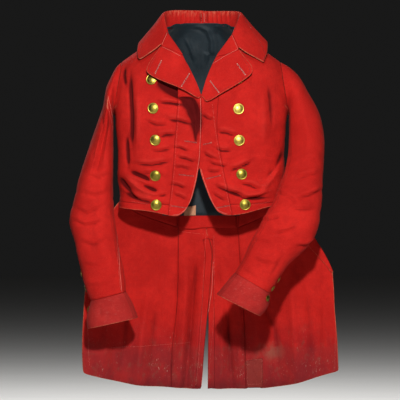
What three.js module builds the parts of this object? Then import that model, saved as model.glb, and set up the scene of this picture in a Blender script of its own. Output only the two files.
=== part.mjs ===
import * as THREE from "three";

// Sizes in millimetres. +Z is up, -Y is the front of the coat, -X is the wearer's right side.
const WOOL = 2.4; // milled wool cloth with its turnings pressed in
const LINING = 1.1; // back lining
const CANVAS = 1.4; // canvas tab
const SEAM = 0.3; // clearance where two pieces are sewn together
const REST = 0.5; // clearance of a piece that lies on another
const LINING_REST = 3.5; // the lining hangs free of the back and bridges its folds
const NECK_HALF = 87; // middle of the neck to the side neck point
const NECK_Z = 45; // height of the side neck point
const NECK_RISE = 1.0; // rise of the shoulder line inside the neck point
const SHOULDER_FALL = 0.7; // drop of the shoulder line per millimetre outward
const CHEST_ROUND = 80; // height over which the chest rolls over the shoulder
const BACK_ROUND = 70; // the same for the back
const SIDE_SEAM = 1.2; // place of the side seam, in quarters of a turn from the middle front
const WAIST_Z = -427; // waist seam at the middle of the back
const WAIST_SIDE_Z = -357; // waist seam at the side seam
const TAIL_MIDDLE = 14; // the tails hang a little to the wearer's left
const TAIL_EASE = 120; // height over which the waist opens into the tails
const BIG_BUTTON = 26; // diameter of a front button
const SMALL_BUTTON = 15; // diameter of a cuff button
const FRONT_SEAM = 146; // place of a sleeve's front seam, degrees from its outer edge
const HIND_SEAM = 292; // place of a sleeve's hind seam
const CUFF_STEP = 2.2; // how far a cuff stands outside its sleeve

const FABRIC = { red_wool: 0xb01418, navy_lining: 0x232c33, tan_canvas: 0x9a6440, brass: 0xb09440 };

const mix = (a, b, t) => a + (b - a) * t;
const clamp = (t) => Math.min(1, Math.max(0, t));
const ease = (t) => clamp(t) ** 2 * (3 - 2 * clamp(t));
const linspace = (n) => Array.from({ length: n + 1 }, (_, i) => i / n);

// A short table with named columns. The first column is its key and rises.
function table(columns, rows) {
  const names = columns.split(" ");
  return rows.map((row) => Object.fromEntries(names.map((name, i) => [name, row[i]])));
}

// Smooth values of every column at one key.
function read(rows, key) {
  const names = Object.keys(rows[0]);
  const first = names[0];
  const at = (i) => rows[Math.min(rows.length - 1, Math.max(0, i))];
  let i = rows.findIndex((row) => row[first] > key) - 1;
  if (i < -1) i = rows.length - 2;
  i = Math.min(rows.length - 2, Math.max(0, i));
  const span = at(i + 1)[first] - at(i)[first];
  const t = clamp((key - at(i)[first]) / span);
  const out = {};
  for (const name of names) {
    const slope = (j) => {
      const a = at(j - 1);
      const b = at(j + 1);
      return ((b[name] - a[name]) / (b[first] - a[first])) * span;
    };
    const [p, q] = [at(i)[name], at(i + 1)[name]];
    const [m, n] = [slope(i), slope(i + 1)];
    out[name] =
      p + t * m + t * t * (3 * (q - p) - 2 * m - n) + t * t * t * (2 * (p - q) + m + n);
  }
  return out;
}

// ---------- the torso: flattened ovals, rolled over at the shoulder line ----------

const TORSO = table("z half front back square", [
  [-430, 200, 88, 66, 3],
  [-360, 196, 88, 62, 3],
  [-305, 198, 92, 64, 3],
  [-230, 201, 102, 74, 3],
  [-160, 207, 110, 84, 3],
  [-100, 206, 108, 86, 3],
  [-60, 200, 101, 82, 3],
  [-28, 196, 92, 76, 3],
  [20, 194, 78, 66, 3],
  [60, 194, 66, 54, 3],
]);

const ridge = (x) => NECK_Z + (NECK_HALF - x) * (x < NECK_HALF ? NECK_RISE : SHOULDER_FALL);

// The oval at a height: q runs from 0 at the middle front over 1 at the side to 2 at the middle back.
function oval(q, z) {
  const s = read(TORSO, z);
  const [sin, cos] = [Math.sin((q * Math.PI) / 2), Math.cos((q * Math.PI) / 2)];
  const r = (Math.abs(sin) ** s.square + Math.abs(cos) ** s.square) ** (-1 / s.square);
  const x = s.half * r * sin;
  const y = -r * cos * (cos > 0 ? s.front : s.back);
  const nx = (Math.sign(sin) * Math.abs(r * sin) ** (s.square - 1)) / s.half;
  const ny = (-Math.sign(cos) * Math.abs(r * cos) ** (s.square - 1)) / (cos > 0 ? s.front : s.back);
  const n = Math.hypot(nx, ny);
  return { x, y, nx: nx / n, ny: ny / n };
}
function quarterOfX(x, z, back) {
  const s = read(TORSO, z);
  const a = Math.min(0.9999, Math.abs(x) / s.half);
  const turn = (Math.atan2(Math.sign(x) * a, (1 - a ** s.square) ** (1 / s.square)) * 2) / Math.PI;
  return back ? 2 - turn : turn;
}
function quarterOfY(y, z) {
  const s = read(TORSO, z);
  const b = Math.min(0.9999, Math.abs(y) / (y < 0 ? s.front : s.back));
  const turn = (Math.atan2((1 - b ** s.square) ** (1 / s.square), b) * 2) / Math.PI;
  return y > 0 ? 2 - turn : turn;
}
const round = (q) => (q > 1 ? BACK_ROUND : CHEST_ROUND);
function rollOf(x, z, q) {
  const drop = Math.max(0, ridge(Math.abs(x)) - z) / round(q);
  return drop < 1 ? Math.acos(1 - drop) : Math.PI / 2 + drop - 1;
}

// ---------- folds: soft troughs and ridges, each one a line with a width and a depth ----------

const FRONT_FOLDS = {
  "-1": table("x z x2 z2 wide deep", [
    [171, -84, 167, -240, 11, -5],
    [185, -62, 178, -80, 8, -4],
    [179, -226, 174, -284, 9, -3.5],
    [199, -306, 120, -362, 15, 6],
    [196, -330, 150, -366, 12, -4],
    [158, -100, 152, -250, 16, 3],
    [66, -180, 110, -176, 12, -2],
    [72, -250, 120, -244, 12, -2],
    [78, -318, 130, -312, 12, -2],
    [20, -150, 26, -330, 14, 1.5],
  ]),
  1: table("x z x2 z2 wide deep", [
    [180, -90, 178, -210, 12, -4],
    [160, -120, 150, -250, 18, 3],
    [52, -210, 110, -200, 12, -2],
    [60, -300, 120, -290, 13, -2.5],
    [190, -300, 130, -352, 16, 4],
    [24, -170, 30, -330, 14, 1.5],
  ]),
};
const BACK_FOLDS = table("x z x2 z2 wide deep", [
  [60, -60, 40, -300, 26, 3],
  [120, -60, 100, -230, 24, -3.5],
  [150, -90, 150, -200, 16, 3],
  [20, -330, 120, -350, 24, -1.6],
  [30, -390, 130, -400, 18, 1.5],
]);
const TAIL_FOLDS = table("x z x2 z2 wide deep", [
  [-9, -437, -38, -813, 9, -9],
  [-30, -437, -52, -813, 17, 6],
  [-56, -470, -72, -818, 11, -4],
  [-124, -590, -155, -800, 20, 7],
  [-165, -560, -190, -800, 22, -8],
  [-225, -520, -250, -800, 20, 6],
  [64, -636, 76, -818, 9, -8],
  [82, -600, 100, -818, 16, 6],
  [46, -520, 44, -570, 12, -5],
  [157, -626, 184, -790, 20, -8],
  [130, -480, 142, -800, 20, 5],
  [232, -560, 240, -790, 28, 9],
  [285, -600, 292, -790, 16, -6],
]);

function folds(rows, x, z) {
  let sum = 0;
  for (const f of rows) {
    const [dx, dz] = [f.x2 - f.x, f.z2 - f.z];
    const long = Math.hypot(dx, dz);
    const t = ((x - f.x) * dx + (z - f.z) * dz) / (long * long);
    const across = ((x - f.x) * dz - (z - f.z) * dx) / long;
    const end = Math.max(0, -t, t - 1) * long;
    sum += f.deep * Math.exp(-((across / f.wide) ** 2) - (end / (1.6 * f.wide)) ** 2);
  }
  return sum;
}

// ---------- the body's surface ----------

const TAIL = table("z middle forward", [
  [-830, 92, 46],
  [-700, 88, 44],
  [-560, 80, 38],
  [-427, 68, 26],
]);
function tailY(x, z) {
  const s = read(TAIL, z);
  const hang = ease((WAIST_Z - z) / 150);
  const away = Math.abs(x - TAIL_MIDDLE) / 300;
  return s.middle - s.forward * away ** 1.9 - folds(TAIL_FOLDS, x, z) * hang;
}
function bodyPoint(side, q, z, lean) {
  const o = oval(q, z);
  const over = lean ?? Math.sin(Math.min(rollOf(o.x, z, q), Math.PI / 2));
  const rows = q > 1.25 ? BACK_FOLDS : FRONT_FOLDS[side];
  const calm = q > 1.25 ? ease((q - 1.25) / 0.2) : 1 - ease((q - 0.95) / 0.2);
  const d = folds(rows, o.x, z) * Math.abs(over) * calm;
  const p = [side * (o.x + o.nx * d), (o.y + o.ny * d) * over, z];
  if (z < WAIST_Z && q > 1) p[1] = mix(p[1], tailY(p[0], z), ease((WAIST_Z - z) / TAIL_EASE));
  return p;
}
const frontPoint = (side, x, z) => bodyPoint(side, quarterOfX(x, z, false), z);
const backPoint = (side, x, z) => bodyPoint(side, quarterOfX(x, z, true), z);

// ---------- closed walls of cloth ----------

const part = new THREE.Group();
part.name = "tail_hunting_coat";

function add(name, slot, positions, faces) {
  const flat = positions.flat();
  let volume = 0;
  const v = (i) => new THREE.Vector3(...positions[i]);
  for (const [a, b, c] of faces) volume += v(a).dot(v(b).cross(v(c)));
  const turned = volume < 0 ? faces.map(([a, b, c]) => [a, c, b]) : faces;
  const geometry = new THREE.BufferGeometry();
  geometry.setAttribute("position", new THREE.Float32BufferAttribute(flat, 3));
  geometry.setIndex(turned.flat());
  geometry.computeVertexNormals();
  const metal = slot === "brass";
  const material = new THREE.MeshStandardMaterial({
    color: FABRIC[slot],
    roughness: metal ? 0.35 : 0.9,
    metalness: metal ? 1 : 0,
  });
  material.name = slot;
  const mesh = new THREE.Mesh(geometry, material);
  mesh.name = name;
  part.add(mesh);
  return mesh;
}

// Quads over face points become a closed wall: the second skin lies thick behind the first.
function wall(name, slot, points, normals, quads, thick) {
  const n = points.length;
  const behind = points.map((p, i) => p.map((c, k) => c - normals[i][k] * thick));
  const faces = [];
  const edges = new Map();
  for (const [a, b, c, d] of quads) {
    faces.push([a, b, c], [a, c, d]);
    faces.push([n + a, n + c, n + b], [n + a, n + d, n + c]);
    for (const [i, j] of [
      [a, b],
      [b, c],
      [c, d],
      [d, a],
    ]) {
      if (edges.has(j + "," + i)) edges.delete(j + "," + i);
      else edges.set(i + "," + j, [i, j]);
    }
  }
  for (const [i, j] of edges.values()) faces.push([i, n + j, j], [i, n + i, n + j]);
  const used = [...new Set(faces.flat())].sort((a, b) => a - b);
  const index = new Map(used.map((old, i) => [old, i]));
  const all = [...points, ...behind];
  return add(
    name,
    slot,
    used.map((i) => all[i]),
    faces.map((face) => face.map((i) => index.get(i))),
  );
}

const OUTWARD = (p) => [p[0] * 0.5, p[1], 40];

// A panel is a function of u and v. Its normals come from the function, so that neighbours agree.
function panel(name, slot, f, us, vs, options = {}) {
  const { thick = WOOL, outward = OUTWARD, lift = 0 } = options;
  const e = 0.002;
  const points = [];
  const normals = [];
  const normal = (u, v) => {
    const a = new THREE.Vector3(...f(u + e, v)).sub(new THREE.Vector3(...f(u - e, v)));
    const b = new THREE.Vector3(...f(u, v + e)).sub(new THREE.Vector3(...f(u, v - e)));
    return a.cross(b).normalize();
  };
  const [um, vm] = options.probe ?? [us[us.length >> 1], vs[vs.length >> 1]];
  const probe = normal(um, vm);
  const sign = probe.dot(new THREE.Vector3(...outward(f(um, vm)))) < 0 ? -1 : 1;
  for (const u of us) {
    for (const v of vs) {
      const n = normal(u, v).multiplyScalar(sign).toArray();
      points.push(f(u, v).map((c, k) => c + n[k] * lift));
      normals.push(n);
    }
  }
  const quads = [];
  for (let i = 0; i < us.length - 1; i++) {
    for (let j = 0; j < vs.length - 1; j++) {
      const a = i * vs.length + j;
      quads.push([a, a + 1, a + 1 + vs.length, a + vs.length]);
    }
  }
  options.extend?.(points, normals, quads, us, vs);
  wall(name, slot, points, normals, quads, thick);
  return { us, vs, points, normals };
}

// A spot on a finished panel's own facets, for what is sewn on it: its point and normal.
function spotOn(grid, u, v) {
  const find = (list, x) => Math.max(0, Math.min(list.length - 2, list.findIndex((k) => k > x) - 1));
  const { us, vs } = grid;
  const i = u >= us.at(-1) ? us.length - 2 : find(us, u);
  const j = v >= vs.at(-1) ? vs.length - 2 : find(vs, v);
  const s = (u - us[i]) / (us[i + 1] - us[i]);
  const t = (v - vs[j]) / (vs[j + 1] - vs[j]);
  const a = i * vs.length + j;
  const [b, c, d] = [a + 1, a + 1 + vs.length, a + vs.length];
  const parts = t > s ? [[a, 1 - t], [b, t - s], [c, s]] : [[a, 1 - s], [d, s - t], [c, t]];
  const sum = (list) => [0, 1, 2].map((k) => parts.reduce((total, [n, w]) => total + list[n][k] * w, 0));
  return { p: sum(grid.points), n: sum(grid.normals) };
}
// A piece sewn on a panel: the panel's points moved out by its wall and a clearance.
function sewnOn(name, slot, grid, f, us, vs, thick, rest = REST) {
  const spots = us.flatMap((u) => vs.map((v) => spotOn(grid, ...f(u, v))));
  const points = spots.map(({ p, n }) => p.map((c, k) => c - n[k] * (WOOL + rest)));
  const quads = [];
  for (let i = 0; i < us.length - 1; i++) {
    for (let j = 0; j < vs.length - 1; j++) {
      const a = i * vs.length + j;
      quads.push([a, a + 1, a + 1 + vs.length, a + vs.length]);
    }
  }
  const normals = spots.map(({ n }) => n);
  wall(name, slot, points, normals, quads, thick);
}

// ---------- edges and seams, as short tables for the two sides ----------

const LAPEL_SEAM = {
  "-1": table("z x", [
    [-396, 78.8],
    [-342, 72.5],
    [-269, 65],
    [-220, 62.6],
    [-171, 57.8],
    [-124, 55.2],
    [-60, 55],
    [-12, 60],
  ]),
  1: table("z x", [
    [-397, 75.8],
    [-355, 67.2],
    [-306, 57.4],
    [-257, 47.5],
    [-195, 37.7],
    [-132, 40],
    [-60, 48],
    [-12, 58],
  ]),
};
const FRONT_EDGE = {
  "-1": table("z x", [
    [-386, 38],
    [-375, 28.6],
    [-359, 22],
    [-341, 17.8],
    [-312, 10.3],
    [-288, 6.6],
    [-257, 3.6],
    [-195, 0.2],
    [-161, -0.8],
    [-112, 0.6],
  ]),
  1: table("z x", [
    [-386, 38],
    [-373, 28.3],
    [-359, 21.8],
    [-339, 14.4],
    [-312, 4.6],
    [-284, -3.6],
    [-227, -0.9],
    [-195, 1.8],
    [-161, 3],
    [-112, 2.6],
  ]),
};
const FRONT_HEM = {
  "-1": table("x z", [
    [38, -386],
    [51, -396.7],
    [65, -399],
    [79, -396],
    [121, -387],
    [170, -382],
    [196, -378],
  ]),
  1: table("x z", [
    [38, -386],
    [47.5, -392],
    [60.5, -396.5],
    [76.6, -396],
    [109, -391],
    [143, -381],
    [168, -375],
    [196, -374],
  ]),
};
const STRIP_SEAM = {
  "-1": table("x z", [
    [60, -373],
    [89.5, -370.6],
    [121, -367],
    [170, -360],
    [196, -357],
  ]),
  1: table("x z", [
    [60, -373],
    [69.6, -372],
    [117.6, -369.4],
    [165.6, -360],
    [196, -357],
  ]),
};
const NECKLINE = table("t x z", [
  [0, 60, -12],
  [0.35, 70, 10],
  [0.7, 80, 32],
  [0.9, 85, 43],
  [1, 87, 45],
]);
const BACK_NECK = table("t x z", [
  [0, 87, 45],
  [0.25, 76, 53],
  [0.5, 54, 60],
  [0.75, 26, 63],
  [1, 0, 64],
]);
const BACK_NECK_BY_X = table("x z", [
  [0, 64],
  [26, 63],
  [54, 60],
  [76, 53],
  [87, 45],
]);
// The armhole runs from the shoulder tip down the front to the underarm and up the back.
const ARMHOLE = table("c z y", [
  [0, -28, -40],
  [0.12, -50, -44],
  [0.3, -75, -47],
  [0.5, -100, -47],
  [0.68, -125, -40],
  [0.84, -146, -22],
  [1, -155, 3],
  [1.16, -149, 27],
  [1.32, -128, 45],
  [1.5, -102, 52],
  [1.7, -76, 50],
  [1.88, -50, 43],
  [2, -28, 33],
]);
const BACK_TOP = 1.42; // where the curved back seam meets the armhole
const BACK_SEAM = table("z x", [
  [-440, 72],
  [-400, 76],
  [-350, 86],
  [-300, 100],
  [-250, 120],
  [-200, 146],
  [-150, 176],
  [-112, 194],
]);
const TAIL_SEAM = {
  "-1": table("z x", [
    [-826, 72],
    [-758, 72],
    [-712, 69],
    [-620, 58],
    [-483, 54],
    [-427, 54],
  ]),
  1: table("z x", [
    [-826, 109.6],
    [-743, 107],
    [-684, 106],
    [-560, 98],
    [-461, 91],
    [-427, 89],
  ]),
};
const CENTRE = {
  "-1": table("z x", [
    [-826, 1],
    [-729, -8.4],
    [-641, -16.5],
    [-510, -27],
    [-464, -27],
    [-448, -14],
    [-300, -9],
    [64, -7],
  ]),
  1: table("z x", [
    [-826, 15.2],
    [-729, 16],
    [-641, 17],
    [-560, 14],
    [-440, 14.4],
    [-420, 14.4],
    [-300, 9.4],
    [64, 7.4],
  ]),
};
const HEM_Z = table("x z", [
  [-290, -778],
  [-232, -793],
  [-150, -810],
  [-94, -813],
  [-48, -817],
  [0, -819],
  [74, -818],
  [157, -816],
  [230, -805],
  [273, -791],
  [334, -773],
]);
const SKIRT_EDGE = {
  "-1": table("t x y z", [
    [0, 196, 20, -357],
    [0.1, 226, 34, -398],
    [0.25, 258, 42, -462],
    [0.45, 278, 46, -555],
    [0.63, 285, 46, -640],
    [0.82, 288, 44, -720],
    [1, 284, 42, -779],
  ]),
  1: table("t x y z", [
    [0, 196, 20, -357],
    [0.1, 236, 34, -398],
    [0.22, 276, 44, -452],
    [0.42, 318, 50, -534],
    [0.6, 322, 48, -610],
    [0.8, 330, 46, -697],
    [1, 333, 42, -773],
  ]),
};


const onArmhole = (c) => {
  const a = read(ARMHOLE, c);
  return { q: quarterOfY(a.y, a.z), z: a.z };
};
const place = (x, z, back) => ({ q: quarterOfX(x, z, back), z });

// The side seam meets the armhole where both lie at the same part of a turn.
const SIDE_TOP = (() => {
  let [a, b] = [1, BACK_TOP];
  for (let i = 0; i < 40; i++) {
    const c = (a + b) / 2;
    if (onArmhole(c).q < SIDE_SEAM) a = c;
    else b = c;
  }
  return a;
})();

// A sheet between two edges. With a shoulder, its last row lies along the top of the shoulder line.
function between(side, inner, outer, shoulder) {
  const spot = (u, v) => {
    const [a, b] = [inner(v), outer(v)];
    return { q: mix(a.q, b.q, u), z: mix(a.z, b.z, u) };
  };
  const crest = (u) => {
    const top = spot(u, 1);
    return ridge(Math.abs(oval(top.q, top.z).x)) - top.z;
  };
  return (u, v) => {
    const over = shoulder && v > 1;
    const w = over ? 2 - v : v;
    const s = spot(u, w);
    const z = shoulder ? s.z + crest(u) * clamp((w - 0.6) / 0.4) ** 2 : s.z;
    const p = bodyPoint(side, s.q, z, shoulder && w === 1 ? 0 : undefined);
    return over ? [p[0], -p[1], p[2]] : p;
  };
}

// ---------- turned lapels ----------

// The fold from the break (s 0) up to the gorge seam (s 1); roll is how far it stands off the front.
const FOLD = {
  "-1": table("s x z roll", [
    [0, 0.8, -112.6, 2.5],
    [0.25, 11, -86, 4],
    [0.5, 24, -58, 5],
    [0.75, 36, -34, 5.5],
    [1, 46, -15, 6],
  ]),
  1: table("s x z roll", [
    [0, 2.6, -112.6, 2.5],
    [0.25, 8, -93, 4],
    [0.5, 16, -68, 5],
    [0.75, 27, -42, 5.5],
    [1, 38, -20, 6],
  ]),
};
// The leaf's other edges: lower from the break to the corner, side from the corner to the notch.
const LEAF = {
  "-1": {
    lower: table("t x z lift", [
      [0, 0.8, -126, 6],
      [0.2, 14, -115, 12],
      [0.45, 46, -96, 17],
      [0.7, 84, -81, 20],
      [0.9, 114, -68, 18],
      [1, 129, -57, 16],
    ]),
    side: table("s x z lift", [
      [0, 129, -57, 16],
      [0.3, 127, -42, 14],
      [0.65, 109, -14, 11],
      [1, 95.5, 5, 10],
    ]),
    gorge: table("t x z lift", [
      [0, 46, -15, 6],
      [0.5, 71, -3, 9],
      [1, 95.5, 5, 10],
    ]),
  },
  1: {
    lower: table("t x z lift", [
      [0, 3.2, -136, 6],
      [0.2, 22, -124, 10],
      [0.45, 50, -106, 13],
      [0.7, 82, -88, 15],
      [0.9, 108, -71, 14],
      [1, 121, -60, 13],
    ]),
    side: table("s x z lift", [
      [0, 121, -60, 13],
      [0.3, 121, -43, 12],
      [0.65, 101, -18, 11],
      [1, 90.5, -3.5, 10],
    ]),
    gorge: table("t x z lift", [
      [0, 38, -20, 6],
      [0.5, 64, -14, 9],
      [1, 90.5, -3.5, 10],
    ]),
  },
};
function leafPoint(side, fold, leaf, s, t) {
  const [f, e, l, g] = [read(fold, s), read(leaf.side, s), read(leaf.lower, t), read(leaf.gorge, t)];
  const [f0, f1] = [read(fold, 0), read(fold, 1)];
  const [e0, e1] = [read(leaf.side, 0), read(leaf.side, 1)];
  const patch = (k) =>
    mix(f[k], e[k], t) + mix(l[k], g[k], s) - mix(mix(f0[k], e0[k], t), mix(f1[k], e1[k], t), s);
  const low = mix(0, leaf.lower[0].z - f0.z, (1 - s) * (1 - t));
  const x = patch("x");
  const z = patch("z") - low + low * ease(t / 0.12);
  const lift = mix(mix(l.lift, g.lift, s), mix(8, e.lift, t), 0.5);
  const p = frontBare(side, x, z);
  p[1] -= f.roll + (lift + 2 - f.roll) * ease(0.15 + t / 0.3);
  return p;
}
function frontBare(side, x, z) {
  const q = quarterOfX(x, z, false);
  const o = oval(q, z);
  return [side * x, o.y * Math.sin(Math.min(rollOf(x, z, q), Math.PI / 2)), z];
}

// Normals of a free mesh: the average of its quads, turned to agree with the first vertex's direction.
function smoothNormals(points, quads, outward) {
  const sum = points.map(() => new THREE.Vector3());
  const v = (i) => new THREE.Vector3(...points[i]);
  for (const [a, b, c, d] of quads) {
    const n = v(c).sub(v(a)).cross(v(d).sub(v(b)));
    for (const i of [a, b, c, d]) sum[i].add(n);
  }
  const sign = sum[0].dot(new THREE.Vector3(...outward(points[0]))) < 0 ? -1 : 1;
  return sum.map((n) => n.normalize().multiplyScalar(sign).toArray());
}

// ---------- fronts ----------

const forepartOf = {};
for (const side of [-1, 1]) {
  const hand = side < 0 ? "right" : "left";
  const seamX = (z) => read(LAPEL_SEAM[side], z).x;

  // Forepart: lapel seam and neckline on one side, side seam and armhole on the other.
  const inner = (v) => {
    if (v < 0.8) {
      const z = mix(-371, -12, v / 0.8);
      return place(seamX(z) + SEAM / 2, z, false);
    }
    const n = read(NECKLINE, (v - 0.8) / 0.2);
    return place(n.x, n.z, false);
  };
  const outer = (v) => {
    if (v < 0.55) return { q: SIDE_SEAM, z: mix(WAIST_SIDE_Z, read(ARMHOLE, SIDE_TOP).z, v / 0.55) };
    return onArmhole(SIDE_TOP * (1 - (v - 0.55) / 0.45));
  };
  const forepart = between(side, inner, outer, true);
  forepartOf[side] = forepart;
  const across = [0, 0.08, 0.17, 0.26, 0.35, 0.44, 0.53, 0.62, 0.71, 0.8, 0.9, 1];
  panel(
    "forepart_" + hand,
    "red_wool",
    forepart,
    across,
    [0, 0.06, 0.12, 0.18, 0.25, 0.32, 0.39, 0.46, 0.53, 0.59, 0.65, 0.72, 0.79, 0.85, 0.9, 0.95, 0.98, 1],
  );

  // Waistband strip under the forepart.
  const strip = (u, v) => {
    const top = forepart(u, 0);
    const x = Math.min(196, Math.abs(top[0]));
    const z = mix(top[2] - SEAM, read(FRONT_HEM[side], x).z, v);
    const q = mix(quarterOfX(seamX(z) + SEAM / 2, z, false), SIDE_SEAM - 0.014, u);
    return bodyPoint(side, q, z);
  };
  panel("waistband_" + hand, "red_wool", strip, across, [0, 0.5, 1]);

  // Lapel strip: flat below the break, then a base up to the fold and a leaf turned back over it.
  const fold = FOLD[side];
  const leaf = LEAF[side];
  const breakZ = -112.6;
  const points = [];
  const quads = [];
  const rowsBelow = 13;
  const rowsAbove = 8;
  const base = [0, 0.22, 0.44, 0.66, 0.84, 0.95, 1];
  const turned = [0.035, 0.09, 0.2, 0.34, 0.48, 0.62, 0.76, 0.9, 1];
  const rows = rowsBelow + rowsAbove;
  for (let j = 0; j <= rows; j++) {
    const s = Math.max(0, (j - rowsBelow) / rowsAbove);
    const f = read(fold, s);
    const zEdge = j < rowsBelow ? mix(-386, breakZ, (j / rowsBelow) ** 0.9) : f.z;
    const zSeam = j < rowsBelow ? zEdge : mix(breakZ, -12, s);
    const xEdge = j < rowsBelow ? read(FRONT_EDGE[side], zEdge).x : f.x;
    for (const u of base) {
      const xs = seamX(zSeam) - SEAM / 2;
      const x = mix(xs, xEdge, u);
      let z = mix(zSeam, zEdge, u);
      const low = (1 - j / rowsBelow) ** 5;
      if (j < rowsBelow) z += (read(FRONT_HEM[side], x).z + 386) * low;
      const p = frontPoint(side, x, z);
      const roll = j < rowsBelow ? 0 : f.roll * (u > 0.9 ? 1 : u > 0.8 ? 0.3 : 0);
      p[1] -= u === 1 ? roll : roll * 0.35;
      points.push(p);
    }
  }
  const wide = base.length;
  for (let j = 0; j < rows; j++) {
    for (let i = 0; i < wide - 1; i++) {
      const a = j * wide + i;
      quads.push([a, a + 1, a + 1 + wide, a + wide]);
    }
  }
  const edgeOf = (j) => (rowsBelow + j) * wide + wide - 1;
  const first = points.length;
  for (let j = 0; j <= rowsAbove; j++) {
    for (const t of turned) points.push(leafPoint(side, fold, leaf, j / rowsAbove, t));
  }
  for (let j = 0; j < rowsAbove; j++) {
    const at = (jj, i) => (i < 0 ? edgeOf(jj) : first + jj * turned.length + i);
    for (let i = -1; i < turned.length - 1; i++) quads.push([at(j, i), at(j, i + 1), at(j + 1, i + 1), at(j + 1, i)]);
  }
  wall("lapel_" + hand, "red_wool", points, smoothNormals(points, quads, (p) => [0, -1, 0]), quads, WOOL);
}


// ---------- side bodies, backs cut in one to the hem, skirts ----------

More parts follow.
